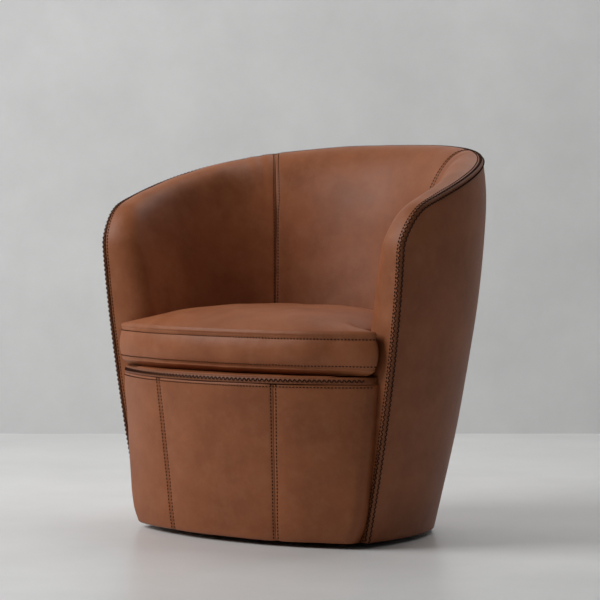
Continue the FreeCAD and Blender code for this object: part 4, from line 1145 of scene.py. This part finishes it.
class CLUB_OT_seat_deck(bpy.types.Operator):
    """The deck under the cushion: its leather front strip and its black cloth"""

    bl_idname = "club.seat_deck"
    bl_label = "Seat deck"

    def execute(self, context):
        b = ClubBuild(context)
        s = b.panel_sizes
        rise_over_band, side_gap, strip_depth = 0.0022, 0.002, 0.056
        lower, sag, pad_depth = 0.0006, 0.0035, 0.022
        top = s.top_height + s.band_height + rise_over_band
        half = b.shell.side_x(b.shell.front_y(top), top, 1.0) - side_gap
        depth = np.linspace(0, 1, 14)
        x = np.linspace(-1, 1, 120)[:, None] * half + 0 * depth
        front = b.panel.front_y(x, s.top_height) + s.band_roll + 0.001
        back = b.shell_sizes.front_foot_y + b.shell_sizes.front_roll + strip_depth
        y = front + (back - front) * depth
        uneven = ripple(np.stack([x, y, 0 * x], axis=-1), 0.09, 31) * 0.0003
        z = top - 0.0012 * np.exp(-depth / 0.03) + uneven
        lip = skin_piece("deck_front_strip", np.stack([x, y, z], axis=-1), True, b.shell_sizes.leather)
        finish_piece(lip, "chair", b.leather, ["front_lip_leather", "front_lip_foam"])
        rim = b.shell.at(np.linspace(math.radians(79), math.radians(281), 120), top, 1.0)
        rim[:, :2] *= 0.996
        across = np.linspace(rim[-1, 0], rim[0, 0], 60)
        front_line = np.stack([across, 0 * across + back + 0.0006, 0 * across], axis=1)
        outline = resampled(np.concatenate([rim, front_line]), 200, True)
        centre = np.array([0, SEAT_CENTRE_Y, 0])
        shares = np.array((1, 0.97, 0.9, 0.8, 0.65, 0.45, 0.2))[:, None]
        rings = centre + (outline - centre) * shares[..., None]
        rings[..., 2] = top - lower - sag * (1 - shares ** 2)
        low = rings[:1] - np.array([0, 0, pad_depth])
        deck = closed_rings("deck_cloth_pad", np.concatenate([low, rings]),
                            (0, SEAT_CENTRE_Y, low[0, 0, 2]), (0, SEAT_CENTRE_Y, top - lower - sag))
        cloth = cloths(b.finish)["lining_cloth"]
        finish_piece(deck, "chair", cloth, ["deck_pad", "deck_cloth"])
        return {"FINISHED"}


class CLUB_OT_cushion(bpy.types.Operator):
    """The loose seat cushion: a boxed form with a crowned top and puckered seams"""

    bl_idname = "club.cushion"
    bl_label = "Seat cushion"

    def execute(self, context):
        b = ClubBuild(context)
        rings = cushion_rings(b)
        piece = closed_rings("seat_cushion", rings, rings[0].mean(axis=0), rings[-1].mean(axis=0))
        finish_piece(piece, "cushion", b.leather,
                     ["cushion_foam", "cushion_top_cover", "cushion_boxing", "cushion_bottom_cover"])
        return {"FINISHED"}


def zip_place(b, radius, angles, z):
    """Points on the zip's arc at the back of the cushion."""
    y = b.cushion_sizes.zip_centre_y
    return np.stack(np.broadcast_arrays(radius * np.sin(angles), y + radius * np.cos(angles), z), axis=-1)


def zip_recess(b, points):
    """Sinks the back of the cushion's boxing to the zip's arc."""
    s = b.cushion_sizes
    across, along = points[..., 0], points[..., 1] - s.zip_centre_y
    reach, angle = np.hypot(across, along), np.abs(np.arctan2(across, along))
    middle = (s.seam_low + s.seam_high) / 2
    margin, fade, end_margin, end_fade, sunk = 0.005, 0.004, 0.05, 0.04, 0.0016
    level = smoothstep((s.zip_height / 2 + margin - np.abs(points[..., 2] - middle)) / fade)
    share = level * smoothstep((s.zip_half_angle + end_margin - angle) / end_fade)
    floor = s.zip_radius - sunk
    wanted = np.where(reach > floor, reach + (floor - reach) * share, reach)
    moved = points.copy()
    moved[..., 0] = across * wanted / reach
    moved[..., 1] = s.zip_centre_y + along * wanted / reach
    return moved


def pillow(outline, rings):
    """A share from 0 at a closed outline to 1 in its middle, at rings of points inside it."""
    edge = resampled(outline, 4000, True)[:, :2]
    rise = np.array([1 / (1 / ((ring[:, None, :2] - edge) ** 2).sum(axis=-1)).sum(axis=1) for ring in rings])
    return rise / rise.max()


def cushion_rings(b):
    """Rings of the cushion from the middle of its underside to the middle of its top."""
    s, form = b.cushion_sizes, b.cushion
    draw = s.draw_in
    under = form.outline(s.rest_height + 0.004, draw, draw * 1.6)
    centre = np.array([0, s.centre_y, 0])
    shares = np.array((0.08, 0.3, 0.5, 0.7, 0.85, 0.94, 0.985))
    bottom = centre + (under - centre) * shares[:, None, None]
    bottom[..., 2] = s.rest_height
    below_seam = s.seam_low - s.rest_height - 0.0035
    levels = [(s.rest_height + up, draw * side, draw * front) for up, side, front in (
        (0.0012, 1.00, 1.50), (0.0060, 0.70, 0.85), (below_seam, 0.34, 0.34))]
    levels += [(s.seam_low + up, draw / 4 + dip, draw / 5 + dip) for up, dip in (
        (-0.0015, 0.0003), (0.0, 0.0014), (0.0016, 0.0003))]
    for z, share in zip(np.linspace(s.seam_low + 0.0030, s.seam_high - 0.0030, 13), np.linspace(0, 1, 13)):
        swell = math.sin(math.pi * share) ** 0.8
        levels.append((z, draw / 4 * (1 - swell), draw / 6 * (1 - swell) - s.bulge * swell))
    levels += [(s.seam_high + up, draw / 4 + dip, dip) for up, dip in (
        (-0.0014, 0.0004), (0.0, 0.0016), (0.0016, 0.0003))]
    rings = list(bottom) + [form.outline(*level) for level in levels]
    for out, up in ((-0.0006, 0.0030), (-0.0002, 0.0052), (0.0014, 0.0074)):
        ring = form.outline(s.seam_high, draw / 4 + out, out)
        ring[:, 2] = s.seam_high + up
        rings.append(ring)
    edge = form.outline(s.seam_high, draw / 4, 0)
    shares = np.array((0.988, 0.975, 0.958, 0.935, 0.905, 0.87, 0.83, 0.78, 0.72, 0.65, 0.57, 0.48, 0.38,
                       0.27, 0.15, 0.05))
    top = centre + (edge - centre) * shares[:, None, None]
    fall = (1 - pillow(edge, top)) ** (s.crown_power / 2)
    shoulder = 0.0078
    top[..., 2] = s.seam_high + shoulder + (s.crown - shoulder) * (1 - fall)
    rings = np.stack(rings + list(top))
    z = rings[..., 2]
    run = np.cumsum(np.linalg.norm(np.diff(rings[20], axis=0, append=rings[20][:1]), axis=1))[None, :]
    picks = np.random.RandomState(4)
    wave = sum(np.sin(run * 2 * math.pi / picks.uniform(0.012, 0.034) + picks.uniform(0, 6.3))
               for _ in range(5)) / 3
    low_near = np.exp(-((z - s.seam_low - 0.006) / 0.010) ** 2)
    high_near = np.exp(-((z - s.seam_high + 0.010) / 0.013) ** 2)
    rise = s.pucker * wave * (low_near + high_near) * (z < s.seam_high + 0.004)
    rise = rise + ripple(rings, 0.12, 41) * 0.0010 * (z > s.rest_height + 0.002)
    rise = rise + ripple(rings, 0.035, 43) * 0.00018
    return zip_recess(b, rings + ring_normals(rings) * rise[..., None])


class CLUB_OT_cloth_parts(bpy.types.Operator):
    """Cloth and tape that the padding hides: straps, spring cloth, dust cover and the cushion's zip"""

    bl_idname = "club.cloth_parts"
    bl_label = "Cloth parts"

    def execute(self, context):
        b = ClubBuild(context)
        made = cloths(b.finish)
        angles = np.linspace(*np.radians(STRAP_ENDS), 90)
        grids = []
        for low in STRAP_HEIGHTS:
            angle, z = np.meshgrid(angles, np.linspace(low, low + STRAP_WIDTH, 5), indexing="ij")
            sag = ripple(np.stack([angle * 0.3, z, z], axis=-1), 0.08, 51) * 0.0001
            grids.append(b.shell.strap_line(angle, z) + sag[..., None])
        self.sheets("back_straps", grids, 0.0018, made["webbing"], "webbing", ["back_webbing"],
                    len(grids) * STRAP_WIDTH)
        self.node_sheet("spring_cloth", "spring_cloth_sheet", made["lining_cloth"], (0, SEAT_CENTRE_Y))
        self.node_sheet("dust_cover", "dust_cover_sheet", made["lining_cloth"], (0, -0.024))
        s = b.cushion_sizes
        middle = (s.seam_low + s.seam_high) / 2
        angle, z = np.meshgrid(np.linspace(-s.zip_half_angle, s.zip_half_angle, 80),
                               middle + np.linspace(-0.5, 0.5, 7) * s.zip_height, indexing="ij")
        face = zip_place(b, s.zip_radius - 0.0002 - 0.0003 * np.cos((z - middle) * 400), angle, z)
        finish_piece(skin_piece("zip_tape", face, False, 0.0007), "cushion", made["zip_tape"],
                     ["cushion_zip"])
        line = np.linspace(-s.zip_half_angle, s.zip_half_angle, 160)
        points = zip_place(b, s.zip_radius - 0.0003, line, middle + 0 * line)
        facing = unit(points - zip_place(b, 0 * line, line, middle + 0 * line))
        coil = fibre("Zip coil", (0.05, 0.025, 0.014), 700, 0.45, 0.0001)
        stitch_rows("zip_coil", [(points, facing)], "cushion", coil, 0.0022, 0.0042, 0.0005, math.pi / 2)
        return {"FINISHED"}

    def sheets(self, name, grids, thickness, material, slot, replaced, width=None):
        """One piece of flat sheets from grids of points; a width, the cut width of all together, is not
        used.
        """
        vertices, faces = [], []
        for grid in grids:
            faces += grid_faces(*grid.shape[:2], start=len(vertices))
            vertices += grid.reshape(-1, 3).tolist()
        piece = new_mesh(name, vertices, faces)
        thicken(piece, thickness, 0)
        finish_piece(piece, "chair", material, replaced)

    def node_sheet(self, node, name, material, centre):
        """A thin cloth with the same outline as a flat node, and the same hole in its middle."""
        given = frame["nodes"][node]
        places = np.array([given.matrix_world @ v.co for v in given.data.vertices])
        low, high = places[:, 2].min(), places[:, 2].max()
        flat = places[:, :2] - np.array(centre)
        turns, reach = np.arctan2(flat[:, 1], flat[:, 0]), np.hypot(flat[:, 0], flat[:, 1])
        hole = reach.min() if reach.min() > 0.18 else 0
        rim = reach > hole * 1.004
        order = np.argsort(turns[rim])
        angles = np.linspace(-math.pi, math.pi, 241)
        inset = 0.0005
        edge = np.interp(angles, turns[rim][order], reach[rim][order], period=2 * math.pi) - inset
        start = hole + inset
        radius = start + (edge[:, None] - start) * np.linspace(0, 1, 12)[None, :]
        x = centre[0] + radius * np.cos(angles)[:, None]
        y = centre[1] + radius * np.sin(angles)[:, None]
        z = (low + high) / 2 + ripple(np.stack([x, y, 0 * x], axis=-1), 0.12, 61) * 0.0001
        self.sheets(name, [np.stack([x, y, z], axis=-1)], (high - low) * 0.7, material, "lining_cloth",
                    [node])


class CLUB_OT_stitching(bpy.types.Operator):
    """All rows of stitches: the welt's zigzag, the seams of the back, the front panel and the cushion"""

    bl_idname = "club.stitching"
    bl_label = "Stitching"

    def execute(self, context):
        b = ClubBuild(context)
        self.shell_rows(b)
        self.panel_rows(b)
        self.cushion_rows(b)
        return {"FINISHED"}

    def shell_rows(self, b):
        seam, sides = b.seam, (1, MIRROR)
        past_welt, zigzag_proud, seam_sunk = 0.0042, 0.0021, 0.0004
        s = np.linspace(0.004, b.welt.length, 700)
        near = np.array([b.inside.share_at(v, seam.welt_width + past_welt) for v in s[::10]])
        t = np.interp(s, s[::10], near)
        lines = [(b.inside.at(s, t), b.inside.normal(s, t))]
        for offset in (-seam.row_offset, seam.row_offset):
            t = np.concatenate([np.linspace(0.12, 1, 60), 1 + np.linspace(0, 1, 60)[1:]])
            place = np.full_like(t, b.seam_run + offset)
            facing = b.inside.normal(place, t)
            lines.append((b.inside.at(place, t) - facing * seam_sunk, facing))
        edge, across, outside = welt_frames(b, s)
        zigzags = []
        for along, facing in ((across, unit(-outside)), (outside, unit(-across))):
            line = edge + along * seam.welt_width * 0.5 + facing * zigzag_proud
            zigzags.append((line, facing))
        rows, zigzag_rows = [[(line * side, facing * side) for line, facing in part for side in sides]
                             for part in (lines, zigzags)]
        stitch_rows("shell_stitches", rows, "chair", b.thread, *b.straight,
                    onto=["inside_skin_left", "inside_skin_right", "inside_skin_back"])
        stitch_rows("welt_zigzag", zigzag_rows, "chair", b.thread, *b.zigzag, math.radians(52),
                    onto=["rim_welt"])

    def panel_rows(self, b):
        s, form, seam = b.panel_sizes, b.panel, b.seam
        z = np.linspace(b.shell_sizes.floor_gap + 0.006, s.top_height - 0.003, 90)
        places = [(side * s.seam_share * form.side_x(z) + offset, z, 0.0001)
                  for side in (-1, 1) for offset in (-seam.row_offset, seam.row_offset)]
        half = float(form.half_width(s.top_height)) - s.side_roll * 0.4
        x = np.linspace(-half, half, 260)
        places.append((x, np.full_like(x, s.top_height - 0.0056), 0.0003))
        rows = []
        for x, z, proud in places:
            across = form.at(x + STEP, z) - form.at(x - STEP, z)
            facing = unit(np.cross(across, form.at(x, z + STEP) - form.at(x, z - STEP)))
            rows.append((form.at(x, z) + facing * proud, facing))
        stitch_rows("front_panel_stitches", rows, "chair", b.thread, *b.straight,
                    onto=["front_panel_left", "front_panel_centre", "front_panel_right"])
        band = band_grid(b)
        stitch_rows("band_zigzag", [(band[4:-4, 4], grid_normals(band)[4:-4, 4])], "chair", b.thread,
                    *b.zigzag, math.radians(58), onto=["front_panel_band"])

    def cushion_rows(self, b):
        s, rings = b.cushion_sizes, cushion_rings(b)
        normals = ring_normals(rings)
        heights = rings[:, :, 2].mean(axis=1)
        rows = []
        for target in (s.seam_high - 0.0055, s.seam_low + 0.0052):
            k = int(np.clip(np.searchsorted(heights, target), 1, len(rings) - 1))
            mix = (target - heights[k - 1]) / (heights[k] - heights[k - 1])
            line = rings[k - 1] * (1 - mix) + rings[k] * mix
            facing = unit(normals[k - 1] * (1 - mix) + normals[k] * mix)
            rows.append((np.concatenate([line, line[:1]]), np.concatenate([facing, facing[:1]])))
        stitch_rows("cushion_stitches", rows, "cushion", b.thread, *b.straight)


class CLUB_OT_frame_finishes(bpy.types.Operator):
    """Finishes of the wood, steel, plastic and cloth that the frame keeps"""

    bl_idname = "club.frame_finishes"
    bl_label = "Frame finishes"

    def execute(self, context):
        f = context.scene.club_finishes
        made = {
            "frame_wood": timber("Beech wood", f.wood),
            "plywood": timber("Bent board", f.wood),
            "steel": plated("Zinc plated steel", f.steel, 1.0, 0.32, 60),
            "retainer_plastic": plated("Natural nylon", (0.70, 0.68, 0.62), 0.0, 0.45, 80),
            "glide_plastic": plated("Black nylon", f.black, 0.0, 0.5, 120),
            "black_plinth": plated("Black lacquer", f.black, 0.0, 0.35, 40),
            "zip_metal": plated("Antique brass", (0.32, 0.22, 0.10), 1.0, 0.4, 90),
            **cloths(f),
        }
        for row in frame["record"]["subparts"]:
            material, node = made.get(row["material_slot"]), frame["nodes"].get(row["node"])
            if material and node:
                if not node.material_slots:
                    node.data.materials.append(material)
                for slot in node.material_slots:
                    slot.material = material
        return {"FINISHED"}


class CLUB_OT_stage(bpy.types.Operator):
    """Floor, backdrop, lamps and the camera"""

    bl_idname = "club.stage"
    bl_label = "Studio"

    def execute(self, context):
        scene = context.scene
        stage = scene.club_stage
        camera = bpy.data.objects.new("camera", bpy.data.cameras.new("camera"))
        scene.collection.objects.link(camera)
        camera.data.lens = stage.lens
        camera.data.sensor_width = 36
        camera.data.clip_end = 60
        camera.location = stage.camera_place
        camera.rotation_euler = (stage.camera_tilt, 0, stage.camera_turn)
        scene.camera = camera
        angle = stage.camera_turn
        away = np.array([-math.sin(angle), math.cos(angle), 0])
        right = np.array([math.cos(angle), math.sin(angle), 0])
        size = 9
        floor = new_mesh("floor", [[x * size, y * size, 0] for x, y in ((-1, -1), (1, -1), (1, 1), (-1, 1))],
                         [[0, 1, 2, 3]])
        low = [away * stage.wall_distance + right * size * side for side in (-1, 1)]
        wall = new_mesh("backdrop", low + [corner + np.array([0, 0, size / 2]) for corner in low[::-1]],
                        [[0, 1, 2, 3]])
        floor.data.materials.append(self.surface("Pale floor", stage.floor, 0.34, 2.2))
        wall.data.materials.append(self.surface("Pale backdrop", stage.wall, 0.9, 3.4, one_sided=True))
        self.lamp("key", (-2.1, -2.25, 2.5), (0, 0, 0.45), 2.2, stage.key_power)
        self.lamp("top", (0.3, 1.5, 3.0), (0.5, 0.7, 0.0), 2.2, stage.top_power)
        world = bpy.data.worlds.new("studio")
        scene.world = world
        world.use_nodes = True
        w = Wiring(world.node_tree)
        strength = w.node("ShaderNodeMapRange", -2, 0, {
            "Value": w.node("ShaderNodeLightPath", -3, 0).outputs["Is Camera Ray"],
            "To Min": stage.fill_strength, "To Max": stage.background})
        w.feed(world.node_tree.nodes["Background"],
               {"Color": (1, 0.98, 0.96, 1), "Strength": strength.outputs["Result"]})
        scene.view_settings.view_transform = "Standard"
        return {"FINISHED"}

    def lamp(self, name, place, target, size, power):
        data = bpy.data.lights.new(name, "AREA")
        data.size = size
        data.energy = power
        lamp = bpy.data.objects.new(name, data)
        bpy.context.scene.collection.objects.link(lamp)
        lamp.location = place
        lamp.rotation_euler = (Vector(target) - Vector(place)).to_track_quat("-Z", "Y").to_euler()

    def surface(self, name, base, roughness, scale, one_sided=False):
        """A pale painted surface. One that is one-sided lets the view through from behind."""
        made, w = principled(name)
        if w:
            clouds = w.noise(-4, 0, w.place(-5), scale, 8, 0.62)
            tone = w.ramp(-3, 0, clouds, tint(base, 0.93), tint(base, 1.05), (0.3, 0.7))
            w.feed(w.shader, {"Base Color": tone, "Roughness": roughness})
        if w and one_sided:
            mixed = w.node("ShaderNodeMixShader", 2, 0, {
                "Fac": w.node("ShaderNodeNewGeometry", 1, -1).outputs["Backfacing"],
                1: w.shader.outputs["BSDF"], 2: w.first("ShaderNodeBsdfTransparent", 1, 1)})
            w.feed(made.node_tree.nodes["Material Output"], {"Surface": mixed.outputs["Shader"]})
        return made


class CLUB_PT_panel(bpy.types.Panel):
    """Lists the steps that dress the chair"""

    bl_idname = "CLUB_PT_panel"
    bl_label = "Club Chair"
    bl_space_type = "VIEW_3D"
    bl_region_type = "UI"
    bl_category = "Club Chair"

    def draw(self, context):
        for step in STEPS:
            self.layout.operator(step.bl_idname)
        for name in GROUPS:
            box = self.layout.box()
            group = getattr(context.scene, name)
            for key in group.__annotations__:
                box.prop(group, key)


GROUPS = {
    "club_shell": ClubShellSizes,
    "club_panel": ClubPanelSizes,
    "club_cushion": ClubCushionSizes,
    "club_seams": ClubSeamSizes,
    "club_finishes": ClubFinishes,
    "club_stage": ClubStageSettings,
}
STEPS = (
    CLUB_OT_stage,
    CLUB_OT_shell_inside,
    CLUB_OT_shell_outside,
    CLUB_OT_welt,
    CLUB_OT_front_panel,
    CLUB_OT_seat_deck,
    CLUB_OT_cushion,
    CLUB_OT_cloth_parts,
    CLUB_OT_stitching,
    CLUB_OT_frame_finishes,
)


def register():
    for group in GROUPS.values():
        bpy.utils.register_class(group)
    for name, group in GROUPS.items():
        setattr(bpy.types.Scene, name, PointerProperty(type=group))
    for step in STEPS:
        bpy.utils.register_class(step)
    bpy.utils.register_class(CLUB_PT_panel)


def unregister():
    bpy.utils.unregister_class(CLUB_PT_panel)
    for step in reversed(STEPS):
        bpy.utils.unregister_class(step)
    for name, group in reversed(list(GROUPS.items())):
        delattr(bpy.types.Scene, name)
        bpy.utils.unregister_class(group)


def main():
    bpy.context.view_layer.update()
    register()
    for step in STEPS:
        group, name = step.bl_idname.split(".")
        getattr(getattr(bpy.ops, group), name)()


if __name__ == "__main__":
    main()
